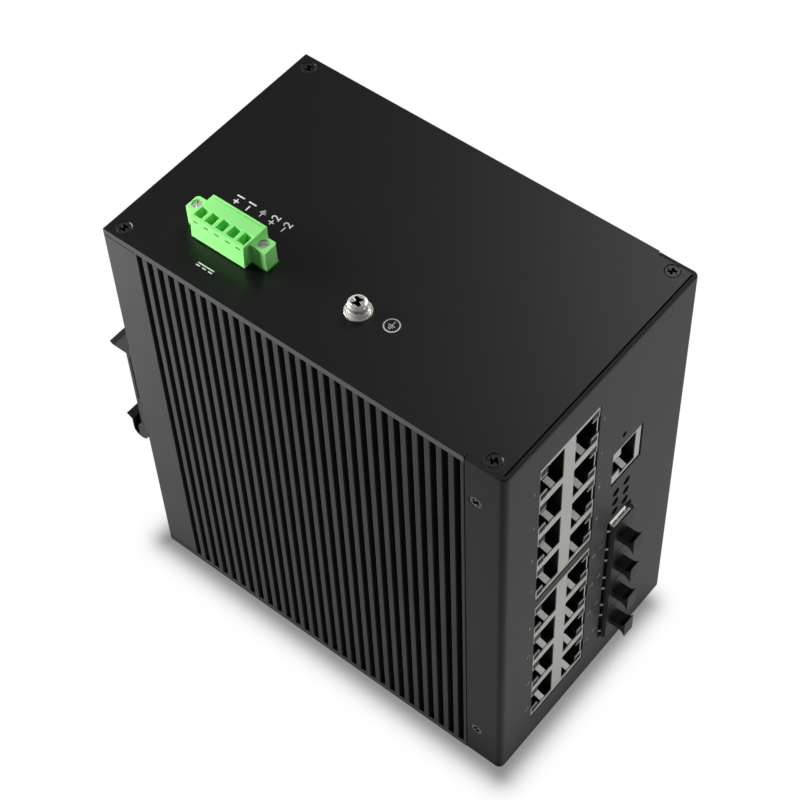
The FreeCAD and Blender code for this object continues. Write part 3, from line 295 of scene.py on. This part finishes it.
def piece_from(bm, name, material):
    mesh = bpy.data.meshes.new(name)
    bm.to_mesh(mesh)
    bm.free()
    piece = bpy.data.objects.new(name, mesh)
    bpy.context.scene.collection.objects.link(piece)
    give(piece, material)
    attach(piece, HOUSING)
    return piece


def merged_copy(node):
    """A copy of a node's mesh, in metres, with its split corners joined."""
    bm = bmesh.new()
    bm.from_mesh(nodes[node].data)
    bmesh.ops.remove_doubles(bm, verts=bm.verts, dist=MERGE_DISTANCE * MM)
    return bm


def solid_boxes(node):
    """Lowest and highest corner of each separate solid of a node, in millimetres."""
    bm = merged_copy(node)
    boxes = []
    waiting = set(bm.verts)
    while waiting:
        front = [waiting.pop()]
        corners = []
        while front:
            vert = front.pop()
            corners.append(vert.co / MM)
            for edge in vert.link_edges:
                other = edge.other_vert(vert)
                if other in waiting:
                    waiting.remove(other)
                    front.append(other)
        low = Vector([min(c[i] for c in corners) for i in range(3)])
        high = Vector([max(c[i] for c in corners) for i in range(3)])
        boxes.append((low, high))
    bm.free()
    return sorted(boxes, key=lambda box: tuple(round(value, 3) for value in box[0]))


def add_mesh(bm, part, place):
    """Copies a finished part into a piece, at a place given in millimetres."""
    mesh = bpy.data.meshes.new("part")
    part.to_mesh(mesh)
    mesh.transform(Matrix.Scale(MM, 4) @ place)
    bm.from_mesh(mesh)
    bpy.data.meshes.remove(mesh)


def add_block(bm, low, high, easing=0.0):
    """A block between two corners, with eased edges if asked for."""
    block = bmesh.new()
    bmesh.ops.create_cube(block, size=1.0)
    size = Vector(high) - Vector(low)
    bmesh.ops.scale(block, vec=size, verts=block.verts)
    bmesh.ops.translate(block, vec=(Vector(low) + Vector(high)) / 2, verts=block.verts)
    if easing:
        bmesh.ops.bevel(block, geom=block.edges[:], offset=easing, segments=EDGE_STEPS,
                        profile=0.5, affect="EDGES", material=-1)
    add_mesh(bm, block, Matrix())
    block.free()


def ease_edges(node, width):
    """A copy of a node with its sharp edges eased, standing in for it."""
    bm = merged_copy(node)
    bmesh.ops.dissolve_limit(bm, angle_limit=math.radians(FLAT_ANGLE), verts=bm.verts,
                             edges=bm.edges)
    piece = piece_from(bm, node + "_eased", nodes[node].data.materials[0])
    edge = piece.modifiers.new("eased_edges", "BEVEL")
    edge.width = width * MM
    edge.segments = EDGE_STEPS
    edge.limit_method = "ANGLE"
    edge.angle_limit = math.radians(EASED_ANGLE)
    edge.use_clamp_overlap = True
    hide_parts(node)


# ---------------------------------------------------------------- turned screws
ROUND_STEPS = 28
LEVEL = 0.001
CROSS_WAIST = 0.75
RECESS_TAPER = 0.45
MOUTH_EASING = 0.09
LAND_EASING = 0.08
TIP_SHARE = 0.7

HEAD_DROP = 0.08
HEAD_CLEARANCE = 0.16
HEAD_EASING = 0.12
HEAD_LAND = 0.1
TIP_LENGTH = 0.3
SHANK_CLEARANCE = 0.1
RECESS_SHARE = 0.52
RECESS_DEPTH_SHARE = 0.4
PANEL_SHANK = 1.25
CLIP_SHANK = 1.5


def follow_profile(bm, edges, radius, profile):
    """Draws a round rim out along radius and height pairs, and closes the tip."""
    height = 0.0
    for next_radius, next_height in profile:
        drawn = bmesh.ops.extrude_edge_only(bm, edges=edges)["geom"]
        verts = [item for item in drawn if isinstance(item, bmesh.types.BMVert)]
        edges = [item for item in drawn if isinstance(item, bmesh.types.BMEdge)]
        scale = next_radius / radius
        bmesh.ops.scale(bm, vec=(scale, scale, 1.0), verts=verts)
        bmesh.ops.translate(bm, vec=(0.0, 0.0, next_height - height), verts=verts)
        radius, height = next_radius, next_height
    bmesh.ops.contextual_create(bm, geom=edges)
    bmesh.ops.recalc_face_normals(bm, faces=bm.faces)


def cross_screw(rim_radius, recess_radius, recess_depth, profile):
    """A screw with a cross recess. Its top is at height 0 and its shank points down."""
    bm = bmesh.new()
    bmesh.ops.create_grid(bm, x_segments=3, y_segments=3, size=recess_radius)
    corners = [face for face in bm.faces
               if min(abs(v) for v in face.calc_center_median().xy) > recess_radius / 3]
    bmesh.ops.delete(bm, geom=corners, context="FACES")
    for vert in bm.verts:
        for axis in (0, 1):
            if abs(vert.co[axis]) < recess_radius * 0.5:
                vert.co[axis] *= CROSS_WAIST
    sunk = bmesh.ops.extrude_face_region(bm, geom=bm.faces[:])["geom"]
    bottom = [item for item in sunk if isinstance(item, bmesh.types.BMVert)]
    bmesh.ops.translate(bm, vec=(0.0, 0.0, -recess_depth), verts=bottom)
    bmesh.ops.scale(bm, vec=(RECESS_TAPER, RECESS_TAPER, 1.0), verts=bottom)
    left_over = [face for face in bm.faces if all(abs(v.co.z) < LEVEL for v in face.verts)]
    bmesh.ops.delete(bm, geom=left_over, context="FACES_ONLY")
    rim = bmesh.ops.create_circle(bm, segments=ROUND_STEPS, radius=rim_radius)["verts"]
    rim_edges = list({edge for vert in rim for edge in vert.link_edges})
    mouth = [edge for edge in bm.edges
             if edge.is_boundary and all(abs(v.co.z) < LEVEL for v in edge.verts)
             and edge not in rim_edges]
    bmesh.ops.bridge_loops(bm, edges=mouth + rim_edges)
    bmesh.ops.bevel(bm, geom=[edge for edge in mouth if edge.is_valid], offset=MOUTH_EASING,
                    segments=EDGE_STEPS, profile=0.5, affect="EDGES", material=-1)
    follow_profile(bm, rim_edges, rim_radius, profile)
    return bm


def slotted_screw(rim_radius, slot_width, slot_depth, profile):
    """A screw with a slot right across its head."""
    bm = bmesh.new()
    bmesh.ops.create_circle(bm, segments=ROUND_STEPS, radius=rim_radius, cap_ends=True)
    for side in (-0.5, 0.5):
        bmesh.ops.bisect_plane(bm, geom=bm.verts[:] + bm.edges[:] + bm.faces[:],
                               plane_co=(side * slot_width, 0.0, 0.0), plane_no=(1.0, 0.0, 0.0))
    rim_edges = [edge for edge in bm.edges if edge.is_boundary]
    for side in (-1.0, 1.0):
        land = [face for face in bm.faces
                if face.calc_center_median().x * side > slot_width / 2
                and abs(face.calc_center_median().z) < LEVEL]
        raised = bmesh.ops.extrude_discrete_faces(bm, faces=land)["faces"]
        verts = list({vert for face in raised for vert in face.verts})
        bmesh.ops.translate(bm, vec=(0.0, 0.0, slot_depth), verts=verts)
        bmesh.ops.bevel(bm, geom=[e for face in raised for e in face.edges],
                        offset=LAND_EASING, segments=EDGE_STEPS, profile=0.5, affect="EDGES",
                        material=-1)
    follow_profile(bm, rim_edges, rim_radius, profile)
    bmesh.ops.translate(bm, vec=(0.0, 0.0, -slot_depth), verts=bm.verts)
    return bm


def facing(direction):
    """The turn that points a screw's top along a direction."""
    return Vector(direction).to_track_quat("Z", "Y").to_matrix().to_4x4()


def set_screws(node, name, part, places, directions, turns):
    """Copies of one screw at several places, in place of a node."""
    bm = bmesh.new()
    for place, direction, turn in zip(places, directions, turns):
        spin = Matrix.Rotation(math.radians(turn), 4, "Z")
        add_mesh(bm, part, Matrix.Translation(place) @ facing(direction) @ spin)
    part.free()
    bmesh.ops.recalc_face_normals(bm, faces=bm.faces)
    piece = piece_from(bm, name, nodes[node].data.materials[0])
    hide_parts(node)


def countersunk(head_radius, shank_radius, length):
    """Profile of a countersunk screw, from its rim to the tip of its shank."""
    cone = head_radius - shank_radius
    return [(head_radius - 0.04, -0.02), (head_radius, -HEAD_LAND),
            (shank_radius, -HEAD_LAND - cone), (shank_radius, -length + TIP_LENGTH),
            (shank_radius * TIP_SHARE, -length)]


def flush_screws(node, name, axis, shank_radius, turns):
    """Cross-recessed countersunk screws in place of a node, facing out along an axis."""
    centre = Vector([sum(corner[i] for corner in cad_bounds) / 2 / MM for i in range(3)])
    boxes = solid_boxes(node)
    places, directions = [], []
    others = [i for i in range(3) if i != axis]
    head_radius = (boxes[0][1] - boxes[0][0])[others[0]] / 2
    length = (boxes[0][1] - boxes[0][0])[axis]
    for low, high in boxes:
        middle = (low + high) / 2
        outward = 1.0 if middle[axis] > centre[axis] else -1.0
        middle[axis] = high[axis] if outward > 0 else low[axis]
        direction = Vector((0.0, 0.0, 0.0))
        direction[axis] = outward
        places.append(middle - direction * HEAD_DROP)
        directions.append(direction)
    seat = head_radius - HEAD_CLEARANCE
    part = cross_screw(seat - HEAD_EASING, head_radius * RECESS_SHARE,
                       head_radius * RECESS_DEPTH_SHARE,
                       countersunk(seat, shank_radius, length - SHANK_CLEARANCE))
    set_screws(node, name, part, places, directions, turns)


flush_screws("top_cover_screws", "top_cover_cross_screws", 2, PANEL_SHANK, (12, 55, 30, 70))
flush_screws("bottom_cover_screws", "bottom_cover_cross_screws", 2, PANEL_SHANK, (40, 8, 64, 25))
flush_screws("front_panel_screws", "front_panel_cross_screws", 0, PANEL_SHANK, (20, 62, 35, 5))
flush_screws("rear_panel_screws", "rear_panel_cross_screws", 1, PANEL_SHANK, (33, 71, 15, 50))
flush_screws("din_clip_screws", "din_clip_cross_screws", 1, CLIP_SHANK, (10, 48, 66, 28))


GROUND_SHANK = 1.5
GROUND_RIM_SHARE = 0.7
GROUND_RECESS_SHARE = 0.62
GROUND_RECESS_DEPTH = 0.42
GROUND_DOME = ((0.72, -0.06), (0.88, -0.2), (0.97, -0.45), (1.0, -0.8))
GROUND_TURN = 62


def ground_head():
    """The ground screw: a domed head with a cross recess."""
    low, high = solid_boxes("ground_screw")[0]
    _, washer_top = solid_boxes("ground_spring_washer")[0]
    radius = (high.x - low.x) / 2
    rise = high.z - washer_top.z
    drop = high.z - low.z
    dome = [(radius * share, height) for share, height in GROUND_DOME]
    profile = dome + [(radius, -rise + 0.12), (radius - 0.12, -rise), (GROUND_SHANK, -rise),
                      (GROUND_SHANK, -drop + 0.4), (GROUND_SHANK * TIP_SHARE, -drop)]
    part = cross_screw(radius * GROUND_RIM_SHARE, radius * GROUND_RECESS_SHARE,
                       GROUND_RECESS_DEPTH, profile)
    middle = (low + high) / 2
    middle.z = high.z
    set_screws("ground_screw", "ground_cross_screw", part, [middle], [(0, 0, 1)],
               [GROUND_TURN])


TERMINAL_SLOT_WIDTH = 0.45
TERMINAL_SLOT_DEPTH = 0.6
TERMINAL_HEAD = 1.6
TERMINAL_SHANK = 0.9
TERMINAL_TIP = 0.6
TERMINAL_TURNS = (38, -52)


def terminal_screws():
    """The two slotted screws that hold the terminal plug."""
    boxes = solid_boxes("power_plug_flange_screws")
    low, high = boxes[0]
    radius = (high.x - low.x) / 2
    length = high.z - low.z
    barrel = radius - 0.02
    part = slotted_screw(radius - 0.08, TERMINAL_SLOT_WIDTH, TERMINAL_SLOT_DEPTH,
                         [(barrel, -0.05), (barrel, -TERMINAL_HEAD),
                          (TERMINAL_SHANK, -TERMINAL_HEAD - 0.1),
                          (TERMINAL_SHANK, TERMINAL_SHANK - length),
                          (TERMINAL_TIP, TERMINAL_TIP - length)])
    places = [Vector(((low.x + high.x) / 2, (low.y + high.y) / 2, high.z)) for low, high in boxes]
    set_screws("power_plug_flange_screws", "power_plug_slotted_screws", part, places,
               [(0, 0, 1)] * 2, TERMINAL_TURNS)


ground_head()
terminal_screws()

# ---------------------------------------------------------------- eased edges
for node, width in (("left_side_heatsink", 0.12), ("right_side_heatsink", 0.12),
                    ("top_cover", 0.15), ("bottom_cover", 0.15), ("din_rail_clip", 0.12),
                    ("power_terminal_plug", 0.12), ("power_terminal_header", 0.12),
                    ("sfp_dust_plug_1", 0.2), ("sfp_dust_plug_2", 0.2),
                    ("sfp_dust_plug_3", 0.2), ("sfp_dust_plug_4", 0.2)):
    ease_edges(node, width)


# ---------------------------------------------------------------- jack lenses and painted shade sheets
TINTED_GROWTH = 0.28
SMOKED_GROWTH = 0.16
LENS_PROUD = 0.06
LENS_EASING = 0.08
SHADE_SHEET_THICKNESS = 0.12
SHADE_SHEET_SET_BACK = 0.45
SHADE_SHEET_DEPTH = 12.0


def jack_lenses(block):
    """Lenses in the outer corners of the jacks: the upper one of a jack is tinted."""
    node = "jack_light_pipes_" + block
    boxes = solid_boxes(node)
    rows = sorted({round(low.z, 2) for low, _ in boxes})
    tinted, smoked = bmesh.new(), bmesh.new()
    for low, high in boxes:
        upper = rows.index(round(low.z, 2)) % 2 == 1
        grow = TINTED_GROWTH if upper else SMOKED_GROWTH
        add_block(tinted if upper else smoked, low - Vector((grow, LENS_PROUD, grow)),
                  high + Vector((grow, 0.0, grow)), LENS_EASING)
    lens = piece_from(tinted, "jack_tinted_lenses_" + block, light_green)
    piece_from(smoked, "jack_smoked_lenses_" + block, light_smoke)
    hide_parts(node)


def jack_liners(block):
    """Painted shade: thin black sheets inside the outer walls of a block of jacks, standing in for
    the shade deep in the jacks.
    """
    low, high = box_in_mm("jack_housing_" + block)
    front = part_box("jack_shield_" + block)[0][1] / MM
    bm = bmesh.new()
    for near, far in ((low.x, low.x + SHADE_SHEET_THICKNESS), (high.x - SHADE_SHEET_THICKNESS, high.x)):
        add_block(bm, (near, front + SHADE_SHEET_SET_BACK, low.z),
                  (far, front + SHADE_SHEET_DEPTH, high.z))
    piece_from(bm, "jack_liners_" + block, jack_plastic)


for block in ("upper", "lower"):
    jack_lenses(block)
    jack_liners(block)


# ---------------------------------------------------------------- print
INK = 0.02
LETTER_WEIGHT = 0.014
RING_STEPS = 48
RING_MERGE = 0.0005
cover_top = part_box("top_cover")[1][2] / MM
panel_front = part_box("front_panel")[0][1] / MM


def text_mesh(words, size, depth):
    """Letters of a size, standing out by a depth on both sides of their plane."""
    curve = bpy.data.curves.new("letters", "FONT")
    curve.body = words
    curve.size = size
    curve.extrude = depth
    curve.offset = size * LETTER_WEIGHT
    curve.align_x = "CENTER"
    curve.align_y = "CENTER"
    holder = bpy.data.objects.new("letters", curve)
    bpy.context.scene.collection.objects.link(holder)
    bpy.context.view_layer.update()
    evaluated = holder.evaluated_get(bpy.context.evaluated_depsgraph_get())
    mesh = bpy.data.meshes.new_from_object(evaluated)
    bpy.data.objects.remove(holder)
    bpy.data.curves.remove(curve)
    return mesh


def on_top(x, y, reading):
    """A place on the top cover, for print that reads along a direction."""
    along = Vector(reading).normalized()
    up = Vector((0.0, 0.0, 1.0)).cross(along)
    turn = Matrix((along, up, (0.0, 0.0, 1.0))).transposed().to_4x4()
    return Matrix.Translation((x, y, cover_top)) @ turn


def on_front(x, z):
    """A place on the front panel, for upright print."""
    turn = Matrix(((1.0, 0.0, 0.0), (0.0, 0.0, 1.0), (0.0, -1.0, 0.0))).transposed().to_4x4()
    return Matrix.Translation((x, panel_front, z)) @ turn


def add_letters(bm, words, size, place):
    """Printed letters centred on a place."""
    mesh = text_mesh(words, size, INK)
    mesh.transform(Matrix.Scale(MM, 4) @ place)
    bm.from_mesh(mesh)
    bpy.data.meshes.remove(mesh)


def add_bar(bm, place, low, high):
    """A printed bar between two corners on the printed face."""
    bar = bmesh.new()
    bmesh.ops.create_cube(bar, size=1.0)
    bmesh.ops.scale(bar, vec=(high[0] - low[0], high[1] - low[1], 2 * INK), verts=bar.verts)
    bmesh.ops.translate(bar, vec=((low[0] + high[0]) / 2, (low[1] + high[1]) / 2, 0.0),
                        verts=bar.verts)
    add_mesh(bm, bar, place)
    bar.free()


def add_ring(bm, place, radius, width):
    """A printed ring round a place."""
    ring = bmesh.new()
    start = [ring.verts.new((radius + side * width / 2, 0.0, height))
             for side, height in ((-1, -INK), (1, -INK), (1, INK), (-1, INK))]
    edges = [ring.edges.new((start[i], start[(i + 1) % 4])) for i in range(4)]
    bmesh.ops.spin(ring, geom=start + edges, angle=math.tau, steps=RING_STEPS,
                   axis=(0.0, 0.0, 1.0), cent=(0.0, 0.0, 0.0), use_merge=True)
    bmesh.ops.remove_doubles(ring, verts=ring.verts, dist=RING_MERGE)
    bmesh.ops.recalc_face_normals(ring, faces=ring.faces)
    add_mesh(bm, ring, place)
    ring.free()


EARTH_STEM = 1.35
EARTH_LINE = 0.24
EARTH_BARS = ((1.0, 0.0), (0.68, 0.5), (0.34, 1.0))


def earth_sign(bm, place, scale):
    """The earth sign: a stem over three shorter and shorter bars."""
    stem = EARTH_STEM * scale
    line = EARTH_LINE * scale
    add_bar(bm, place, (-line / 2, 0.0), (line / 2, stem))
    for half, drop in EARTH_BARS:
        add_bar(bm, place, (-half * scale, (-drop - EARTH_LINE) * scale),
                (half * scale, -drop * scale))


POLE_LABELS = ("+1", "−1", "", "+2", "−2")
POLE_SIZE = 3.4
POLE_GAP = 7.2
POLE_SPREAD = 1.11
POLE_EARTH_SCALE = 0.95
SUPPLY_GAP = 5.6
SUPPLY_SHIFT = 0.6
SUPPLY_HALF = 2.6
SUPPLY_BAR = (0.35, 0.7)
SUPPLY_DASHES = (-0.45, -0.1)
DASH_STARTS = (-2.6, -0.62, 1.36)
DASH_LENGTH = 1.24


def terminal_print():
    """Pole signs beside the power terminal, and the sign for direct current."""
    bm = bmesh.new()
    low, high = box_in_mm("power_terminal_plug")
    reading = (1.0, 0.0, 0.0)
    poles = [(box[0].y + box[1].y) / 2 for box in solid_boxes("power_plug_clamp_screws")]
    middle = sum(poles) / len(poles)
    for pole, words in zip(reversed(poles), POLE_LABELS):
        place = on_top(high.x + POLE_GAP, middle + (pole - middle) * POLE_SPREAD, reading)
        if words:
            add_letters(bm, words, POLE_SIZE, place)
        else:
            upright = Matrix.Rotation(math.radians(90), 4, "Z")
            earth_sign(bm, place @ upright, POLE_EARTH_SCALE)
    sign = on_top(low.x - SUPPLY_GAP, middle - SUPPLY_SHIFT, (0.0, -1.0, 0.0))
    add_bar(bm, sign, (-SUPPLY_HALF, SUPPLY_BAR[0]), (SUPPLY_HALF, SUPPLY_BAR[1]))
    for start in DASH_STARTS:
        add_bar(bm, sign, (start, SUPPLY_DASHES[0]), (start + DASH_LENGTH, SUPPLY_DASHES[1]))
    piece_from(bm, "terminal_print", print_white)


GROUND_SIGN_ACROSS = 1.4
GROUND_SIGN_FORWARD = 9.2
GROUND_RING_RADIUS = 2.0
GROUND_RING_WIDTH = 0.36


def ground_print():
    """The earth sign in a ring, in front of the ground screw."""
    bm = bmesh.new()
    low, high = box_in_mm("ground_screw")
    place = on_top((low.x + high.x) / 2 + GROUND_SIGN_ACROSS,
                   (low.y + high.y) / 2 - GROUND_SIGN_FORWARD, (0.0, -1.0, 0.0))
    add_ring(bm, place, GROUND_RING_RADIUS, GROUND_RING_WIDTH)
    earth_sign(bm, place @ Matrix.Translation((0.0, 0.1, 0.0)), 1.0)
    piece_from(bm, "ground_print", print_white)


PORTS = 4
NUMBER_SIZE = 1.7
LEFT_GAP = 2.2
RIGHT_GAP = 2.0
PORT_NUMBER_RISE = 7.0


def panel_print():
    """Port numbers beside the jacks and the optical ports."""
    bm = bmesh.new()
    number = 1
    for block in ("upper", "lower"):
        low, high = box_in_mm("jack_shield_" + block)
        pitch = (high.z - low.z) / PORTS
        for row in range(PORTS):
            z = high.z - pitch * (row + 0.5)
            add_letters(bm, str(number), NUMBER_SIZE, on_front(low.x - LEFT_GAP, z))
            add_letters(bm, str(number + 1), NUMBER_SIZE, on_front(high.x + RIGHT_GAP, z))
            number += 2
    cage_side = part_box("sfp_cage")[0][0] / MM
    for i in range(PORTS):
        plug_foot = box_in_mm("sfp_dust_plug_%d" % (i + 1))[0].z
        add_letters(bm, str(number + i), NUMBER_SIZE,
                    on_front(cage_side - LEFT_GAP, plug_foot + PORT_NUMBER_RISE))
    piece_from(bm, "panel_print", print_grey)


terminal_print()
ground_print()
panel_print()


# ---------------------------------------------------------------- seams, cage lid and marks
SEAM_END_GAP = 1.6
SEAM_OVERHANG = 0.1
SEAM_WIDTH = 0.32
SIDE_SEAM_LENGTH = 10.4
SIDE_SEAM_GAP = 0.2
SIDE_SEAM_HALF = 0.13


def seam_lines():
    """Painted shade: dark strips where the covers meet the folded panel and the extrusions, standing
    in for the shade in the seams.
    """
    bm = bmesh.new()
    for node, side in (("top_cover", 1), ("bottom_cover", 0)):
        low, high = box_in_mm(node)
        face = (low, high)[side].z
        inner = (high, low)[side].z
        proud = INK if side else -INK
        add_block(bm, (low.x + SEAM_END_GAP, low.y - SEAM_OVERHANG, face - proud),
                  (high.x - SEAM_END_GAP, low.y + SEAM_WIDTH, face + proud / 2))
        for skin in (low.x, high.x):
            add_block(bm, (skin - INK / 2, high.y - SIDE_SEAM_LENGTH, inner - SIDE_SEAM_HALF),
                      (skin + INK / 2, high.y - SIDE_SEAM_GAP, inner + SIDE_SEAM_HALF))
    piece_from(bm, "cover_seams", seam_black)


STRIP_FROM = 0.1
STRIP_TO = 7.7
STRIP_FRONT = 0.05
STRIP_BACK = 0.75
STRIP_SUNK = 0.1
STRIP_PROUD = 0.03
STRIP_EASING = 0.02
LINK_STARTS = (0.1, 2.5, 5.8)
LINK_WIDTH = 0.7
LINK_FRONT = 0.7
LINK_BACK = 1.2


def cage_lid():
    """Painted highlight: bright strips on the lid of the optical cage, either side of its slots,
    where the lid catches the light.
    """
    front = box_in_mm("sfp_cage")[0].y
    mouth = [vert.co / MM for vert in nodes["sfp_cage"].data.vertices
             if vert.co.y / MM < front + 0.1]
    lid = max(co.z for co in mouth)
    left = min(co.x for co in mouth)
    bm = bmesh.new()
    add_block(bm, (left + STRIP_FROM, front + STRIP_FRONT, lid - STRIP_SUNK),
              (left + STRIP_TO, front + STRIP_BACK, lid + STRIP_PROUD), STRIP_EASING)
    for offset in LINK_STARTS:
        start = left + offset
        add_block(bm, (start, front + LINK_FRONT, lid - STRIP_SUNK),
                  (start + LINK_WIDTH, front + LINK_BACK, lid + STRIP_PROUD))
    piece_from(bm, "cage_lid_highlight_strips", painted_lid_highlight)


MARK_SUNK = 0.33
MARK_DEPTH = 0.6
MARK_HALF = 0.75
MARK_FOOT = 1.45
MARK_HEAD = 1.1


def terminal_marks():
    """A short dark mark under the roof of the terminal at each pole."""
    low, high = box_in_mm("power_terminal_plug")
    bm = bmesh.new()
    for box in solid_boxes("power_plug_clamp_screws"):
        pole = (box[0].y + box[1].y) / 2
        add_block(bm, (low.x + MARK_SUNK, pole - MARK_HALF, high.z - MARK_FOOT),
                  (low.x + MARK_DEPTH, pole + MARK_HALF, high.z - MARK_HEAD))
    piece_from(bm, "terminal_marks", mark_green)


seam_lines()
cage_lid()
terminal_marks()


# ---------------------------------------------------------------- the stage
# Places and sizes are in metres here, apart from the shade and the drop of the floor.
FLOOR_HALF = 30.0
FLOOR_DROP = 0.3
FLOOR_PAPER = (0.22, 0.22, 0.22, 1)
SHADE_WIDTH = 5.4
SHADE_DEPTH = 0.72
SHADE_RETREAT = 9.0
WORLD_FILL = 0.13
CEILING = (0.08, 0.08, 0.08, 1)
CEILING_RAMP = (0.12, 0.45)
LAMP_TARGET = (0.0, 0.0, 0.07)
CAMERA_PLACE = (-0.24711, -0.21604, 0.51810)
CAMERA_TURN = (0.6425, 0.0313, -0.8904)
CAMERA_LENS = 91.76
SENSOR_WIDTH = 36.0


def seen_ray(tree):
    """One for rays from the camera, straight or by way of a shiny or clear face."""
    path = tree.nodes.new("ShaderNodeLightPath")
    total = path.outputs["Is Camera Ray"]
    for name in ("Is Glossy Ray", "Is Transmission Ray"):
        add = tree.nodes.new("ShaderNodeMath")
        add.operation = "ADD"
        add.use_clamp = True
        tree.links.new(total, add.inputs[0])
        tree.links.new(path.outputs[name], add.inputs[1])
        total = add.outputs[0]
    return total


def contact_shade(tree):
    """The brightness of the floor: white, and darker close to the foot of the housing."""
    place = tree.nodes.new("ShaderNodeTexCoord")
    split = tree.nodes.new("ShaderNodeSeparateXYZ")
    tree.links.new(place.outputs["Object"], split.inputs[0])
    near = [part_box("left_side_heatsink")[0][0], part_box("front_panel")[0][1]]
    far = [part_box("right_side_heatsink")[1][0] - SHADE_RETREAT * MM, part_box("rear_panel")[1][1]]
    squares = []
    for axis, start, end in zip("XY", near, far):
        across = math_node(tree, "SUBTRACT", split.outputs[axis], (start + end) / 2)
        beyond = math_node(tree, "SUBTRACT", math_node(tree, "ABSOLUTE", across),
                           (end - start) / 2)
        outside = math_node(tree, "MAXIMUM", beyond, 0.0)
        squares.append(math_node(tree, "POWER", outside, 2.0))
    total = tree.nodes.new("ShaderNodeMath")
    total.operation = "ADD"
    tree.links.new(squares[0], total.inputs[0])
    tree.links.new(squares[1], total.inputs[1])
    reach = math_node(tree, "MULTIPLY", total.outputs[0], -1 / (SHADE_WIDTH * MM) ** 2)
    shade_here = math_node(tree, "EXPONENT", reach)
    darker = math_node(tree, "MULTIPLY", shade_here, -SHADE_DEPTH)
    return math_node(tree, "ADD", darker, 1.0)


def build_stage():
    """A pale floor, clear from beneath. It glows to the camera and takes no cast shadow, so
    the shade at the foot of the housing is laid on it."""
    material = bpy.data.materials.new("pale_floor")
    material.use_nodes = True
    tree = material.node_tree
    tree.nodes.clear()
    out = tree.nodes.new("ShaderNodeOutputMaterial")
    paper = tree.nodes.new("ShaderNodeBsdfDiffuse")
    paper.inputs["Color"].default_value = FLOOR_PAPER
    glow = tree.nodes.new("ShaderNodeEmission")
    tree.links.new(contact_shade(tree), glow.inputs["Strength"])
    mix = tree.nodes.new("ShaderNodeMixShader")
    tree.links.new(seen_ray(tree), mix.inputs["Fac"])
    tree.links.new(paper.outputs[0], mix.inputs[1])
    tree.links.new(glow.outputs[0], mix.inputs[2])
    clear = tree.nodes.new("ShaderNodeBsdfTransparent")
    side = tree.nodes.new("ShaderNodeNewGeometry")
    one_way = tree.nodes.new("ShaderNodeMixShader")
    tree.links.new(side.outputs["Backfacing"], one_way.inputs["Fac"])
    tree.links.new(mix.outputs[0], one_way.inputs[1])
    tree.links.new(clear.outputs[0], one_way.inputs[2])
    tree.links.new(one_way.outputs[0], out.inputs["Surface"])
    bm = bmesh.new()
    bmesh.ops.create_grid(bm, x_segments=1, y_segments=1, size=FLOOR_HALF)
    bmesh.ops.translate(bm, verts=bm.verts, vec=(0.0, 0.0, -FLOOR_DROP * MM))
    mesh = bpy.data.meshes.new("floor")
    bm.to_mesh(mesh)
    bm.free()
    floor = bpy.data.objects.new("floor", mesh)
    bpy.context.scene.collection.objects.link(floor)
    floor.data.materials.append(material)


def build_world():
    """A pale room: white at the horizon and greyer overhead."""
    world = bpy.data.worlds.new("studio")
    bpy.context.scene.world = world
    world.use_nodes = True
    tree = world.node_tree
    tree.nodes.clear()
    out = tree.nodes.new("ShaderNodeOutputWorld")
    fill = tree.nodes.new("ShaderNodeBackground")
    fill.inputs["Strength"].default_value = WORLD_FILL
    backdrop = tree.nodes.new("ShaderNodeBackground")
    backdrop.inputs["Strength"].default_value = 1.0
    place = tree.nodes.new("ShaderNodeTexCoord")
    split = tree.nodes.new("ShaderNodeSeparateXYZ")
    tree.links.new(place.outputs["Generated"], split.inputs[0])
    tone = ramp(tree, split.outputs["Z"], (1, 1, 1, 1), CEILING, *CEILING_RAMP)
    tree.links.new(tone, backdrop.inputs["Color"])
    mix = tree.nodes.new("ShaderNodeMixShader")
    tree.links.new(seen_ray(tree), mix.inputs["Fac"])
    tree.links.new(fill.outputs[0], mix.inputs[1])
    tree.links.new(backdrop.outputs[0], mix.inputs[2])
    tree.links.new(mix.outputs[0], out.inputs["Surface"])


def area_lamp(name, place, size, power):
    """A square soft box that faces the middle of the housing."""
    lamp = bpy.data.lights.new(name, "AREA")
    lamp.shape = "SQUARE"
    lamp.size = size
    lamp.energy = power
    holder = bpy.data.objects.new(name, lamp)
    holder.location = place
    away = Vector(place) - Vector(LAMP_TARGET)
    holder.rotation_euler = (-away).to_track_quat("-Z", "Y").to_euler()
    bpy.context.scene.collection.objects.link(holder)


def build_lamps():
    """Places in metres, sides in metres and powers in watts."""
    area_lamp("left_softbox", (-0.11, 0.215, 0.19), 0.12, 1.2)
    area_lamp("front_softbox", (0.16, -0.42, 0.05), 0.3, 2.0)
    area_lamp("right_softbox", (1.0, 0.1, 1.05), 0.6, 6.5)


def build_camera():
    data = bpy.data.cameras.new("camera")
    data.lens = CAMERA_LENS
    data.sensor_width = SENSOR_WIDTH
    camera = bpy.data.objects.new("camera", data)
    camera.location = CAMERA_PLACE
    camera.rotation_euler = CAMERA_TURN
    bpy.context.scene.collection.objects.link(camera)
    bpy.context.scene.camera = camera


build_stage()
build_world()
build_lamps()
build_camera()
bpy.context.scene.view_settings.view_transform = "Standard"
